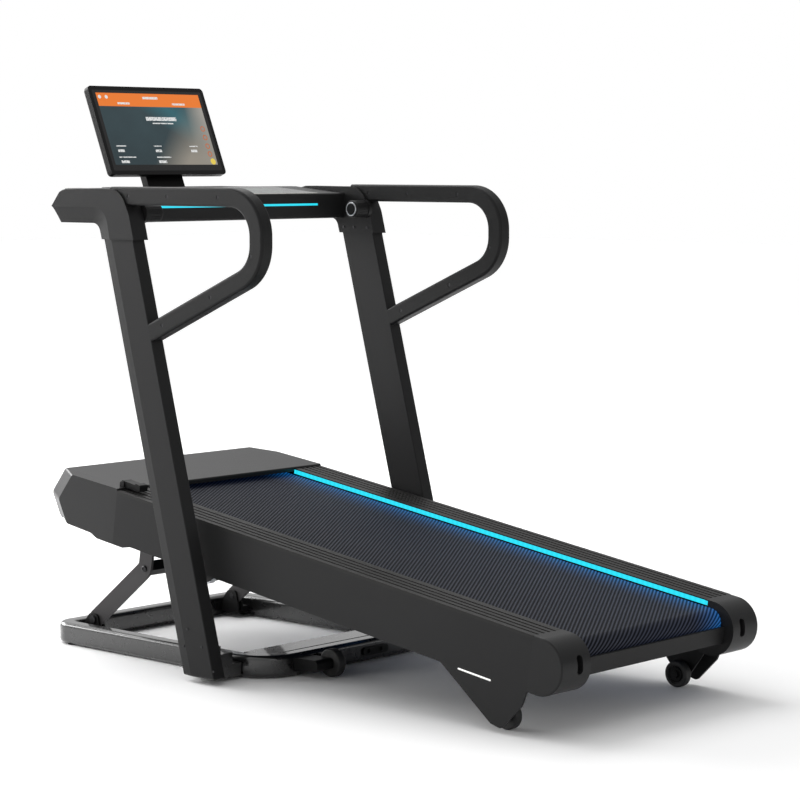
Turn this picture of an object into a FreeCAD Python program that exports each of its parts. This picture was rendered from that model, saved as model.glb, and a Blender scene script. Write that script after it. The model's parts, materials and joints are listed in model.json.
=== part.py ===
"""Motorised incline treadmill: a deck on rear wheels, raised at its front by a lift frame that stands in
a tubular base, between two leaning posts that carry loop handrails, a console and a touch screen.

Millimetres. +X is the runner's right, +Y is the way the runner faces, +Z is up. The origin is on the floor
at the middle of the footprint. Base and upper frame are drawn in stations: y is measured forward from where
the rear wheels touch the floor, and moved to the origin when a piece is written. Deck pieces are drawn flat,
as (x, s, h): s runs up the slope and h stands off the tread plane, and on_deck() sets them at the incline.
"""
import FreeCAD
import Part

import math
import os

V = FreeCAD.Vector

# ---- driving dimensions: deck ----
INCLINE = 8.25              # slope of the tread at rest, degrees
TREAD_HEIGHT = 264.5        # tread plane above the floor, over the rear wheels' contact
DECK_WIDTH = 780.0
BELT_WIDTH = 560.0
BELT_THICKNESS = 3.0
BELT_DROP = 17.0            # belt surface below the foot rails
ROLLER_RADIUS = 30.0
ROLLER_SHAFT_RADIUS = 8.5
REAR_ROLLER_S = -146.0
FRONT_ROLLER_S = 1400.0
RAIL_WIDTH = 105.0          # foot rail, from the deck's side inwards
RAIL_THICKNESS = 8.0
GROOVE_COUNT = 4
GROOVE_WIDTH = 7.0
GROOVE_DEPTH = 2.0
SKIRT_DEPTH = 140.0         # underside of the side skirt below the tread plane
SKIRT_WALL = 6.0
CAP_START_S = -122.0        # where the rail ends and the rear cap begins
CAP_RADIUS = 69.0
CAP_LENGTH = 27.0           # straight part of the rear cap before its round end
CAP_SLOT_INSET = 67.0       # slot's middle, from the deck's side inwards
CAP_SLOT_H = -55.0
CAP_SLOT_HEIGHT = 44.0
CAP_SLOT_WIDTH = 20.0
HOOD_START_S = 1345.0
HOOD_NOSE_S = 1655.0
HOOD_CORNER = 40.0          # width of the slanting facet at each side of the nose
HOOD_SETBACK = 74.0         # nose at the deck's side, behind the nose at the middle
HOOD_RISE = 5.0             # hood top above the tread plane
HOOD_WALL = 4.0
LEVER_INSET = 30.0          # foot lever on the hood, from the deck's side inwards
LEVER_WIDTH = 29.0
BELLY_START_S = 1445.0      # the underside behind it is open for the lift arms
BOARD_THICKNESS = 18.0
BOARD_OVERHANG = 38.0       # board past the belt on each side, carried by the steel rails
CUSHION_HEIGHT = 10.0
STEEL_RAIL_WIDTH = 40.0
STEEL_RAIL_HEIGHT = 58.0
STEEL_WALL = 3.0

# ---- driving dimensions: rear wheels ----
WHEEL_RADIUS = 34.0
WHEEL_WIDTH = 24.0
WHEEL_INSET = 55.0          # wheel's middle, from the deck's side inwards
WHEEL_BOLT_RADIUS = 6.0
LEG_ROUNDING = 20.0        # the leg covers the wheel down to this far above its middle
LEG_FRONT_S = 150.0         # where the leg's front edge leaves the skirt

# ---- driving dimensions: base ----
BASE_INSET = 37.0           # base's side, inside the deck's
BASE_REAR_Y = 810.0
BASE_FRONT_Y = 1658.0
BASE_TUBE = 48.0
BASE_TOP = 60.0
FOOT_HEIGHT = 2.0
BASE_REAR_CORNER = 120.0
BASE_FRONT_CORNER = 58.0
BASE_WALL = 2.5
CROSSBAR_DEPTH = 75.0
TRANSPORT_WHEEL_RADIUS = 37.0
TRANSPORT_WHEEL_WIDTH = 26.0
TRANSPORT_WHEEL_X = -170.0
TRANSPORT_WHEEL_Y = 740.0

# ---- driving dimensions: posts, handrails, console ----
POST_CLEARANCE = 43.0       # between the deck's side and a post
POST_THICKNESS = 41.0
POST_DEPTH = 120.0
POST_FOOT_Y = 923.7         # post's centre line where it would meet the floor
POST_LEAN = 0.264           # forward lean, run over rise
POST_BOTTOM = 20.0
POST_TOP = 1195.0
POST_TOP_DRAWN = 1195.0     # height for which the pieces on the posts' heads are drawn
POST_FACET_START = 25.0     # facet on the outer front corner, measured from the centre line
POST_FACET_SINK = 6.0
POST_WALL = 2.5
ELBOW_PROUD = 5.0           # elbow cover's side faces past the post's
ELBOW_BOTTOM = 1134.0
ELBOW_RIDGE = 1219.0
ELBOW_FACET = 9.0
RAIL_BAND = 48.0            # handrail's depth in side view
HANDRAIL_TOP = 1272.0
HANDRAIL_REAR_Y = 684.5
HANDRAIL_BEND = 96.5
HANDRAIL_SLOPE = 23.4       # lower run, degrees below the horizontal
HANDRAIL_LOW_Y = 1055.0     # a point on the lower run's centre line
HANDRAIL_LOW_Z = 917.0
HANDRAIL_TUBE_RADIUS = 13.0
CONSOLE_REAR_Y = 1270.0
CONSOLE_FRONT_Y = 1486.0
CONSOLE_BOTTOM = 1176.0
CONSOLE_REAR_TOP = 1247.0
CONSOLE_FRONT_TOP = 1267.0
CONSOLE_BULGE_Y = 1640.0    # the middle reaches forward to carry the screen
CONSOLE_WALL = 3.0
PANEL_INSET = 98.0          # console's end past the touch panel's
CONSOLE_LED_INSET = 110.0
PANEL_THICKNESS = 3.0
KNOB_Y = 1185.0
KNOB_Z = 1203.0
KNOB_RADIUS = 24.0
KNOB_LENGTH = 60.0

# ---- driving dimensions: screen ----
SCREEN_WIDTH = 434.0
SCREEN_HEIGHT = 267.0
SCREEN_THICKNESS = 22.0
SCREEN_LEAN = 22.7          # top of the screen away from the runner, degrees
SCREEN_BOTTOM_Y = 1537.0
SCREEN_BOTTOM_Z = 1301.0
GLASS_THICKNESS = 2.0
NECK_HALF_WIDTH = 69.0
NECK_FRONT = 28.0           # clear of the screen's back, measured behind its face
NECK_BACK = 50.0
HINGE_RADIUS = 8.0

# ---- driving dimensions: lift ----
LIFT_FOOT_Y = 1568.0        # lower pivot, in the base
LIFT_FOOT_Z = 64.0
LIFT_KNEE_Y = 1359.0
LIFT_KNEE_Z = 228.0
LIFT_HEAD_S = 1338.0        # upper pivot, in the deck
LIFT_HEAD_H = -130.0
LIFT_ARM_INSET = 28.0       # arm inside the deck's steel rail
LIFT_ARM_THICKNESS = 8.0
LIFT_ARM_BAND = 50.0
LIFT_TUBE = 30.0            # square tube that ties the arms
PIN_RADIUS = 8.0
LEVER_X = 100.0
LEVER_Y = 1497.0            # pin that the lift motor's rod pushes
LEVER_Z = 150.0
LEVER_GAP = 30.0
MOTOR_PIVOT_S = 1000.0
MOTOR_PIVOT_H = -128.0
ROD_RADIUS = 10.0
ROD_TUBE_RADIUS = 20.0

# ---- clearances ----
RUNNING = 0.05              # shaft in its bore, on the radius
GAP = 0.5                   # between pieces that move past each other
BELT_GUARD_GAP = 3.0        # round the belt, to the caps and the rear crossbar
LOOSE = 2.5                 # round the lever's pin, in the slotted eye of the lift motor's rod
EYE_SLOT = 11.0             # length of that slot

# ---- derived sizes ----
ANGLE = math.radians(INCLINE)
HALF = DECK_WIDTH / 2
RAIL_INNER = HALF - RAIL_WIDTH
BELT_HALF = BELT_WIDTH / 2
POST_INNER = HALF + POST_CLEARANCE
POST_OUTER = POST_INNER + POST_THICKNESS
ELBOW_INNER = POST_INNER - ELBOW_PROUD
ELBOW_OUTER = POST_OUTER + ELBOW_PROUD
BASE_HALF_WIDTH = HALF - BASE_INSET
WHEEL_X = HALF - WHEEL_INSET
LEVER_OUTER_X = LEVER_INSET - HALF
BELT_RADIUS = ROLLER_RADIUS + GAP / 2 + BELT_THICKNESS
ROLLER_H = -BELT_DROP - BELT_RADIUS
BOARD_TOP = -BELT_DROP - BELT_THICKNESS
BOARD_BOTTOM = BOARD_TOP - BOARD_THICKNESS
STEEL_TOP = BOARD_BOTTOM - CUSHION_HEIGHT
STEEL_BOTTOM = STEEL_TOP - STEEL_RAIL_HEIGHT
STEEL_INNER = BELT_HALF + 18.0
STEEL_OUTER = STEEL_INNER + STEEL_RAIL_WIDTH
LIFT_ARM_OUTER = STEEL_INNER - LIFT_ARM_INSET
CROSS_TOP = ROLLER_H - BELT_RADIUS - 6.0
CAP_CENTRE_S = CAP_START_S - CAP_LENGTH
GUARD_BOTTOM = ROLLER_H - BELT_RADIUS - 13.5
MOTOR_S = FRONT_ROLLER_S + 130.0
MOTOR_H = ROLLER_H - 27.75
PULLEY_RADIUS = 18.0
MOTOR_SHAFT_RADIUS = 9.0
CROWN = 8.0                 # front roller's pulley past the roller
LEVER_PIN_RADIUS = 3.0


def deck_point(s, h):
    """Station and height of a point of the deck at rest."""
    y = s * math.cos(ANGLE) - h * math.sin(ANGLE)
    z = TREAD_HEIGHT + s * math.sin(ANGLE) + h * math.cos(ANGLE)
    return y, z


def on_level(y, z):
    """Slope and depth coordinates (s, h) of a station and height."""
    rise = z - TREAD_HEIGHT
    return y * math.cos(ANGLE) + rise * math.sin(ANGLE), rise * math.cos(ANGLE) - y * math.sin(ANGLE)


LIFT_HEAD = deck_point(LIFT_HEAD_S, LIFT_HEAD_H)
MOTOR_PIVOT = deck_point(MOTOR_PIVOT_S, MOTOR_PIVOT_H)
AXLE_S, AXLE_H = on_level(0.0, WHEEL_RADIUS)
REAR_END_Y = deck_point(CAP_CENTRE_S, -CAP_RADIUS)[0] - CAP_RADIUS


# ---- drawing helpers ----
def side(a, b):
    """Places a drawn point in the plane seen from the side."""
    return V(0, a, b)


def plan(a, b):
    """Places a drawn point in the plane seen from above."""
    return V(a, b, 0)


def trimmed_corners(points, closed):
    """For each (a, b) or (a, b, radius): where its rounding starts, its middle, and where it ends."""
    corners = []
    last = len(points) - 1
    for i, point in enumerate(points):
        here = V(point[0], point[1], 0)
        radius = point[2] if len(point) > 2 else 0
        if not radius or (not closed and i in (0, last)):
            corners.append((here, None, here))
            continue
        before = V(*points[i - 1][:2], 0) - here
        after = V(*points[(i + 1) % len(points)][:2], 0) - here
        half = before.getAngle(after) / 2
        reach = radius / math.tan(half)
        before.normalize()
        after.normalize()
        inward = before + after
        inward.normalize()
        middle = here + inward * (radius / math.sin(half) - radius)
        corners.append((here + before * reach, middle, here + after * reach))
    return corners


def outline(points, place, closed=True):
    """A wire of straight runs with rounded corners."""
    corners = trimmed_corners(points, closed)
    edges = []
    for i, (start, middle, end) in enumerate(corners):
        if middle is not None:
            edges.append(Part.Arc(place(*start[:2]), place(*middle[:2]), place(*end[:2])).toShape())
        if i + 1 == len(corners) and not closed:
            break
        following = corners[(i + 1) % len(corners)][0]
        if (following - end).Length > 1e-6:
            edges.append(Part.LineSegment(place(*end[:2]), place(*following[:2])).toShape())
    return Part.Wire(edges)


def side_face(points):
    return Part.Face(outline(points, side))


def side_prism(points, x0, x1):
    """An outline seen from the side, solid from x0 to x1."""
    face = side_face(points)
    face.translate(V(x0, 0, 0))
    return face.extrude(V(x1 - x0, 0, 0))


def plan_prism(points, z0, z1):
    """An outline seen from above, solid from z0 to z1."""
    face = Part.Face(outline(points, plan))
    face.translate(V(0, 0, z0))
    return face.extrude(V(0, 0, z1 - z0))


def box(x, y, z):
    return Part.makeBox(x[1] - x[0], y[1] - y[0], z[1] - z[0], V(x[0], y[0], z[0]))


def rod(x0, x1, y, z, radius):
    """A round bar along X."""
    return Part.makeCylinder(radius, x1 - x0, V(x0, y, z), V(1, 0, 0))


def band(points, half_width):
    """The closed outline of a strip of constant width round an open path of rounded corners."""
    places = [V(p[0], p[1], 0) for p in points]
    left, right = [], []
    for i, here in enumerate(places):
        ahead = (places[i + 1] - here) if i + 1 < len(places) else (here - places[i - 1])
        behind = (here - places[i - 1]) if i else ahead
        ahead.normalize()
        behind = V(behind)
        behind.normalize()
        normal = V(-ahead.y - behind.y, ahead.x + behind.x, 0)
        normal.normalize()
        reach = half_width / normal.dot(V(-ahead.y, ahead.x, 0))
        radius = points[i][2] if len(points[i]) > 2 else 0
        turn = behind.x * ahead.y - behind.y * ahead.x
        left_radius = radius - half_width if turn > 0 else radius + half_width
        right_radius = radius + half_width if turn > 0 else radius - half_width
        out, back = here + normal * reach, here - normal * reach
        left.append((out.x, out.y, left_radius if radius else 0))
        right.append((back.x, back.y, right_radius if radius else 0))
    return left + right[::-1]


def fuse(first, *others):
    whole = first
    for shape in others:
        whole = whole.fuse(shape)
    return whole.removeSplitter()


def group(*shapes):
    return Part.makeCompound([s for shape in shapes for s in shape.Solids])


def mirrored(shape):
    """The same piece on the runner's right, for one drawn on the left."""
    return shape.mirror(V(0, 0, 0), V(1, 0, 0))


def on_deck(shape):
    """Sets a piece drawn flat at the deck's incline."""
    placed = shape.copy()
    placed.rotate(V(0, 0, 0), V(1, 0, 0), INCLINE)
    placed.translate(V(0, 0, TREAD_HEIGHT))
    return placed


def on_posts(shape):
    """Moves a piece drawn at the posts' drawn height along their lean to the real one."""
    rise = POST_TOP - POST_TOP_DRAWN
    placed = shape.copy()
    placed.translate(V(0, POST_LEAN * rise, rise))
    return placed


def edges_where(shape, test):
    return [edge for edge in shape.Edges if test(edge)]


# ---- base ----
def base_plan(inset):
    half = BASE_HALF_WIDTH - inset
    rear, front = BASE_REAR_Y + inset, BASE_FRONT_Y - inset
    rear_r, front_r = BASE_REAR_CORNER - inset, BASE_FRONT_CORNER - inset
    return [(-half, rear, rear_r), (half, rear, rear_r), (half, front, front_r), (-half, front, front_r)]


def base_form():
    """Outer form of the bent tube: a ring with rounded edges."""
    ring = plan_prism(base_plan(0), FOOT_HEIGHT, BASE_TOP)
    ring = ring.cut(plan_prism(base_plan(BASE_TUBE), FOOT_HEIGHT, BASE_TOP))
    rims = edges_where(ring, lambda e: abs(e.BoundBox.ZLength) < 0.01)
    return ring.makeFillet(12.0, rims)


def base_loop():
    """One bent tube, hollow inside."""
    ring = base_form()
    low, high = FOOT_HEIGHT + BASE_WALL, BASE_TOP - BASE_WALL
    hollow = plan_prism(base_plan(BASE_WALL), low + 8, high - 8)
    hollow = hollow.cut(plan_prism(base_plan(BASE_TUBE - BASE_WALL), low + 8, high - 8))
    middle = plan_prism(base_plan(12.0), low, high).cut(plan_prism(base_plan(BASE_TUBE - 12.0), low, high))
    return ring.cut(hollow).cut(middle)


def base_crossbar():
    half = BASE_HALF_WIDTH - BASE_TUBE
    y = (BASE_REAR_Y + BASE_TUBE, BASE_REAR_Y + BASE_TUBE + CROSSBAR_DEPTH)
    z = (FOOT_HEIGHT + 6, BASE_TOP - 1)
    bar = box((-half, half), y, z)
    inner_y = (y[0] + STEEL_WALL, y[1] - STEEL_WALL)
    bar = bar.cut(box((-half, half), inner_y, (z[0] + STEEL_WALL, z[1] - STEEL_WALL)))
    return bar.cut(base_form())


def base_feet():
    pads = []
    x = BASE_HALF_WIDTH - BASE_TUBE / 2
    for y in (BASE_REAR_Y + BASE_REAR_CORNER + 15, BASE_FRONT_Y - BASE_FRONT_CORNER - 15):
        for sign in (-1, 1):
            pads.append(Part.makeCylinder(20, FOOT_HEIGHT, V(sign * x, y, 0)))
    return group(*pads)


def pivot_brackets():
    """Two ears on each side of the base's front bar that hold the foot of a lift arm."""
    outer, inner = -LIFT_ARM_OUTER - GAP, -LIFT_ARM_OUTER + LIFT_ARM_THICKNESS + GAP
    plate = 6.0
    front = BASE_FRONT_Y - BASE_TUBE + 1
    ear = [(LIFT_FOOT_Y - 26, 14), (front, 14), (front, 46), (LIFT_FOOT_Y + 17, LIFT_FOOT_Z + 16, 14),
           (LIFT_FOOT_Y - 17, LIFT_FOOT_Z + 16, 14), (LIFT_FOOT_Y - 26, 40)]
    ears = [side_prism(ear, outer - plate, outer), side_prism(ear, inner, inner + plate)]
    floor = box((outer - plate, inner + plate), (LIFT_FOOT_Y - 26, front), (14, 20))
    arm = box((-BASE_HALF_WIDTH + BASE_TUBE - 1, outer), (LIFT_FOOT_Y - 20, front), (14, 32))
    whole = fuse(ears[0], ears[1], floor, arm)
    whole = whole.cut(rod(outer - 20, inner + 20, LIFT_FOOT_Y, LIFT_FOOT_Z, PIN_RADIUS)).cut(base_form())
    return group(whole, mirrored(whole))


def transport_bracket():
    """Two cheeks behind the base's rear bar that carry the transport wheel's axle."""
    y = TRANSPORT_WHEEL_Y
    half = TRANSPORT_WHEEL_WIDTH / 2 + GAP
    profile = [(y - 16, TRANSPORT_WHEEL_RADIUS - 14, 12), (BASE_REAR_Y + 1, TRANSPORT_WHEEL_RADIUS - 20),
               (BASE_REAR_Y + 1, TRANSPORT_WHEEL_RADIUS + 14), (y - 16, TRANSPORT_WHEEL_RADIUS + 16, 12)]
    left = side_prism(profile, TRANSPORT_WHEEL_X - half - 60, TRANSPORT_WHEEL_X - half)
    right = side_prism(profile, TRANSPORT_WHEEL_X + half, TRANSPORT_WHEEL_X + half + 4)
    axle = rod(TRANSPORT_WHEEL_X - half - 60, TRANSPORT_WHEEL_X + half + 4, y, TRANSPORT_WHEEL_RADIUS, 6)
    return fuse(left, right, axle).cut(base_form())


def transport_wheel():
    y = TRANSPORT_WHEEL_Y
    half = TRANSPORT_WHEEL_WIDTH / 2
    x0, x1 = TRANSPORT_WHEEL_X - half, TRANSPORT_WHEEL_X + half
    wheel = rod(x0, x1, y, TRANSPORT_WHEEL_RADIUS, TRANSPORT_WHEEL_RADIUS)
    wheel = wheel.makeFillet(5, edges_where(wheel, lambda e: e.Length > 2 * TRANSPORT_WHEEL_RADIUS * 3))
    return wheel.cut(rod(x0, x1, y, TRANSPORT_WHEEL_RADIUS, 6 + RUNNING))


def level_plate():
    """Oval cover on the base's rear bar, over two bolts."""
    face = plan_prism([(15, 18, 10), (113, 18, 10), (113, 40, 10), (15, 40, 10)], 0, 5)
    face.rotate(V(0, 0, 0), V(1, 0, 0), 90)
    face.translate(V(0, BASE_REAR_Y, 0))
    bolts = [Part.makeCylinder(5, 4, V(x, BASE_REAR_Y - 5, 29), V(0, -1, 0)) for x in (40, 88)]
    return group(fuse(face, *bolts))


# ---- posts ----
def post_section(grow, inner):
    """Post's section seen from above; the outer front corner is faceted unless it is the bore."""
    outer, inside = -POST_OUTER - grow, -POST_INNER + grow
    back, front = -POST_DEPTH / 2 - grow, POST_DEPTH / 2 + grow
    if inner:
        return [(outer, back), (inside, back), (inside, front), (outer + POST_FACET_SINK, front),
                (outer, POST_FACET_START)]
    return [(outer, back, 3), (inside, back, 3), (inside, front, 3), (outer + POST_FACET_SINK, front, 3),
            (outer, POST_FACET_START)]


def leaning(points, z0, z1):
    """A section carried up along the post's lean."""
    face = Part.Face(outline(points, plan))
    face.translate(V(0, POST_FOOT_Y + POST_LEAN * z0, z0))
    return face.extrude(V(0, POST_LEAN * (z1 - z0), z1 - z0))


def post():
    tube = leaning(post_section(0, False), POST_BOTTOM, POST_TOP)
    return tube.cut(leaning(post_section(-POST_WALL, True), POST_BOTTOM, POST_TOP))


def post_cap():
    """Plastic plug that closes the foot of a post."""
    plate = leaning(post_section(0, False), POST_BOTTOM - 3, POST_BOTTOM)
    plug = leaning(post_section(-POST_WALL, True), POST_BOTTOM, POST_BOTTOM + 12)
    return plate.fuse(plug)


def post_bracket():
    """Stepped steel bracket that joins a post to the side of the base."""
    y0 = POST_FOOT_Y - 30
    low = box((-POST_INNER, -BASE_HALF_WIDTH + 1), (y0, y0 + 106), (FOOT_HEIGHT + 8, 44))
    cheek = box((-POST_INNER, -POST_INNER + 8), (y0, y0 + 106), (44, 96))
    step = box((-POST_INNER + 8, -BASE_HALF_WIDTH - 30), (y0, y0 + 106), (44, 74))
    return fuse(low, cheek, step).cut(base_form())


# ---- elbow covers and handrails ----
def elbow_full():
    return [(1155, ELBOW_BOTTOM), (1172, 1198, 70), (1206, 1265, 62), (1300, 1266), (1426, 1267, 30),
            (1452, 1261, 12), (CONSOLE_FRONT_Y, ELBOW_RIDGE - 2), (1454, CONSOLE_BOTTOM, 4),
            (1302, CONSOLE_BOTTOM, 28), (1290, ELBOW_BOTTOM)]


def elbow_ridge():
    return [(1155, ELBOW_BOTTOM), (1172, 1198, 70), (1206, 1265, 62), (1300, 1266), (1426, 1264, 30),
            (1450, 1257, 12), (CONSOLE_FRONT_Y - 3, ELBOW_RIDGE), (1474, ELBOW_RIDGE - 2, 4),
            (1268, ELBOW_RIDGE, 50), (1248, ELBOW_BOTTOM)]


def elbow_cover():
    """Moulded cover over the bend between post and console, with a ridge along its outer face."""
    ridge_x = ELBOW_OUTER - ELBOW_FACET
    body = side_prism(elbow_full(), -ridge_x, -ELBOW_INNER)
    full = outline(elbow_full(), side)
    full.translate(V(-ridge_x, 0, 0))
    ridge = outline(elbow_ridge(), side)
    ridge.translate(V(-ELBOW_OUTER, 0, 0))
    body = fuse(body, Part.makeLoft([full, ridge], True, True))
    return body.cut(leaning(post_section(0.3, True), ELBOW_BOTTOM - 5, POST_TOP_DRAWN + 1))


def handrail_path():
    slope = math.tan(math.radians(HANDRAIL_SLOPE))
    top = HANDRAIL_TOP - RAIL_BAND / 2
    rear = HANDRAIL_REAR_Y + RAIL_BAND / 2
    low = HANDRAIL_LOW_Z + (HANDRAIL_LOW_Y - rear) * slope
    end_y = HANDRAIL_LOW_Y + 80
    end_z = HANDRAIL_LOW_Z - 80 * slope
    return [(1250, top), (rear, top, HANDRAIL_BEND), (rear, low, HANDRAIL_BEND), (end_y, end_z)]


def handrail_bolt_places():
    """Bolts along the handrail: three on the top run, one in the bend and two on the lower run."""
    slope = math.tan(math.radians(HANDRAIL_SLOPE))
    top = HANDRAIL_TOP - RAIL_BAND / 2
    low = [(y, HANDRAIL_LOW_Z + (HANDRAIL_LOW_Y - y) * slope) for y in (872, 1054)]
    return [(1180, top), (1031, top), (843, top), (725, 1103)] + low


def handrail_tube():
    path = outline(handrail_path(), side, closed=False)
    path.translate(V(-(POST_OUTER + POST_INNER) / 2, 0, 0))
    start = path.Vertexes[0].Point
    ring = Part.Wire(Part.makeCircle(HANDRAIL_TUBE_RADIUS, start, V(0, 1, 0)))
    bore = Part.Wire(Part.makeCircle(HANDRAIL_TUBE_RADIUS - 2, start, V(0, 1, 0)))
    tube = path.makePipeShell([ring], True, False).cut(path.makePipeShell([bore], True, False))
    reach = leaning(post_section(0, False), POST_BOTTOM, POST_TOP_DRAWN)
    elbow = side_prism(elbow_full(), -ELBOW_OUTER, -ELBOW_INNER)
    return tube.cut(reach).cut(elbow).Solids[0]


def handrail_shell(outer_side):
    """One of the two moulded halves that close round the handrail's tube."""
    middle = (POST_OUTER + POST_INNER) / 2
    x0, x1 = (-POST_OUTER, -middle) if outer_side else (-middle, -POST_INNER)
    shell = side_prism(band(handrail_path(), RAIL_BAND / 2), x0, x1)
    face_x = x0 if outer_side else x1
    rim = edges_where(shell, lambda e: abs(e.BoundBox.XMin - face_x) < 0.01 and e.BoundBox.XLength < 0.01
                      and e.Length > 60)
    shell = shell.makeFillet(7.0, rim)
    path = outline(handrail_path(), side, closed=False)
    path.translate(V(-middle, 0, 0))
    start = path.Vertexes[0].Point
    channel = Part.Wire(Part.makeCircle(HANDRAIL_TUBE_RADIUS, start, V(0, 1, 0)))
    shell = shell.cut(path.makePipeShell([channel], True, False))
    shell = shell.cut(leaning(post_section(0, False), POST_BOTTOM, POST_TOP_DRAWN))
    shell = shell.cut(side_prism(elbow_full(), -ELBOW_OUTER - 1, -ELBOW_INNER + 1))
    for y, z in handrail_bolt_places():
        shell = shell.cut(rod(face_x - 3, face_x + 3, y, z, 4.5))
    return max(shell.Solids, key=lambda solid: solid.Volume)


def screws():
    """Screw heads in the handrails' counterbores, and those that hold the elbows and the posts' feet."""
    foot_places = ((913, 98), (966, 138), (980, 92), (868, 40))
    feet = [rod(-POST_OUTER - 1.5, -POST_OUTER, y, z, 3) for y, z in foot_places]
    heads = []
    for y, z in handrail_bolt_places():
        heads.append(rod(-POST_OUTER + 1.2, -POST_OUTER + 3, y, z, 4.2))
        heads.append(rod(-POST_INNER - 3, -POST_INNER - 1.2, y, z, 4.2))
    for y in (1181, 1232, 1272):
        heads.append(rod(-ELBOW_INNER, -ELBOW_INNER + 2, y, ELBOW_BOTTOM + 16, 4))
    left = group(on_posts(group(*heads)), *feet)
    return group(left, mirrored(left))


# ---- console ----
def console_plan(inset):
    """Console seen from above: between the elbows, with a forward bulge behind the screen."""
    half = ELBOW_INNER - inset
    rear, front, bulge = CONSOLE_REAR_Y + inset, CONSOLE_FRONT_Y - inset, CONSOLE_BULGE_Y - inset
    return [(-half, rear), (half, rear), (half, front), (260 - inset, front + 10, 60), (190, bulge, 50),
            (-190, bulge, 50), (-260 + inset, front + 10, 60), (-half, front)]


def console_slope(y):
    run = (y - CONSOLE_REAR_Y) / (CONSOLE_FRONT_Y - CONSOLE_REAR_Y)
    return CONSOLE_REAR_TOP + run * (CONSOLE_FRONT_TOP - CONSOLE_REAR_TOP)


def console_solid(inset):
    """Console's outer form, or its hollow when inset."""
    rear, front = CONSOLE_REAR_Y + inset, CONSOLE_BULGE_Y - inset
    lip = front - 60
    profile = [(rear, CONSOLE_BOTTOM + inset, 8), (rear, console_slope(rear) - inset, 6),
               (CONSOLE_FRONT_Y - 20, console_slope(CONSOLE_FRONT_Y - 20) - inset),
               (lip, console_slope(CONSOLE_FRONT_Y) - inset, 30), (front, ELBOW_RIDGE, 10),
               (lip - 60, CONSOLE_BOTTOM + inset, 10)]
    half = ELBOW_INNER - inset
    form = side_prism(profile, -half, half)
    return form.common(plan_prism(console_plan(inset), CONSOLE_BOTTOM - 10, CONSOLE_FRONT_TOP + 30))


def panel_outline():
    half = ELBOW_INNER - PANEL_INSET
    rear, front = CONSOLE_REAR_Y + 6, CONSOLE_FRONT_Y - 31
    return [(-half, rear, 8), (half, rear, 8), (half, front, 20), (-half, front, 20)]


def console_body():
    shell = console_solid(0).cut(console_solid(CONSOLE_WALL))
    recess = console_panel().copy()
    led = console_led().copy()
    beam = console_beam_form()
    return shell.cut(recess).cut(led).cut(beam)


def console_panel():
    """Touch panel let into the console's sloping top."""
    slope = math.degrees(math.atan2(CONSOLE_FRONT_TOP - CONSOLE_REAR_TOP, CONSOLE_FRONT_Y - CONSOLE_REAR_Y))
    panel = plan_prism(panel_outline(), -PANEL_THICKNESS, 0.6)
    panel.rotate(V(0, CONSOLE_REAR_Y, 0), V(1, 0, 0), slope)
    panel.translate(V(0, 0, CONSOLE_REAR_TOP))
    return panel


def console_led():
    half = ELBOW_INNER - CONSOLE_LED_INSET
    return box((-half, half), (CONSOLE_REAR_Y - 1, CONSOLE_REAR_Y + CONSOLE_WALL), (1213, 1219))


def console_beam_form():
    """Steel beam through the console, bolted between the posts."""
    return box((-ELBOW_INNER, ELBOW_INNER), (1300, 1340), (1190, 1230))


def console_beam():
    inner = box((-ELBOW_INNER, ELBOW_INNER), (1300 + STEEL_WALL, 1340 - STEEL_WALL),
                (1190 + STEEL_WALL, 1230 - STEEL_WALL))
    return console_beam_form().cut(inner)


def knob():
    """Round dial on the inner face of an elbow."""
    x0 = -ELBOW_INNER + GAP
    collar = rod(x0, x0 + 12, KNOB_Y, KNOB_Z, KNOB_RADIUS + 2)
    barrel = rod(x0 + 12, x0 + KNOB_LENGTH, KNOB_Y, KNOB_Z, KNOB_RADIUS)
    dial = fuse(collar, barrel)
    end = edges_where(dial, lambda e: abs(e.BoundBox.XMin - x0 - KNOB_LENGTH) < 0.01)
    dial = dial.makeFillet(3.0, end)
    for turn in range(18):
        angle = math.radians(20 * turn)
        y, z = KNOB_Y + KNOB_RADIUS * math.cos(angle), KNOB_Z + KNOB_RADIUS * math.sin(angle)
        dial = dial.cut(rod(x0 + 18, x0 + KNOB_LENGTH - 10, y, z, 1.2))
    return dial


# ---- screen ----
def tilted(shape):
    """Sets a piece drawn upright on the screen's lower front edge at the screen's lean."""
    placed = shape.copy()
    placed.rotate(V(0, 0, 0), V(1, 0, 0), -SCREEN_LEAN)
    placed.translate(V(0, SCREEN_BOTTOM_Y, SCREEN_BOTTOM_Z))
    return placed


def screen_slab(inset, y0, y1, corner):
    """A rounded slab parallel to the screen, drawn upright."""
    half = SCREEN_WIDTH / 2 - inset
    points = [(-half, inset, corner), (half, inset, corner), (half, SCREEN_HEIGHT - inset, corner),
              (-half, SCREEN_HEIGHT - inset, corner)]
    face = Part.Face(outline(points, lambda a, b: V(a, y0, b)))
    return face.extrude(V(0, y1 - y0, 0))


def screen_hinge_place():
    """Centre of the tilt hinge, drawn upright: behind the screen's lower part."""
    return SCREEN_THICKNESS + 16, 52.0


def screen_bezel():
    bezel = screen_slab(0, 0, 9, 12)
    return tilted(bezel.cut(screen_slab(12, 0, GLASS_THICKNESS, 4)).cut(screen_slab(16, 0, 9, 3)))


def screen_glass():
    return tilted(screen_slab(12, 0, GLASS_THICKNESS, 4))


def screen_back():
    shell = screen_slab(0, 9, SCREEN_THICKNESS, 12)
    shell = shell.makeFillet(6, edges_where(shell, lambda e: abs(e.BoundBox.YMin - SCREEN_THICKNESS) < 0.01))
    return tilted(shell.cut(screen_slab(4, 9, SCREEN_THICKNESS - 3, 8)))


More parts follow.
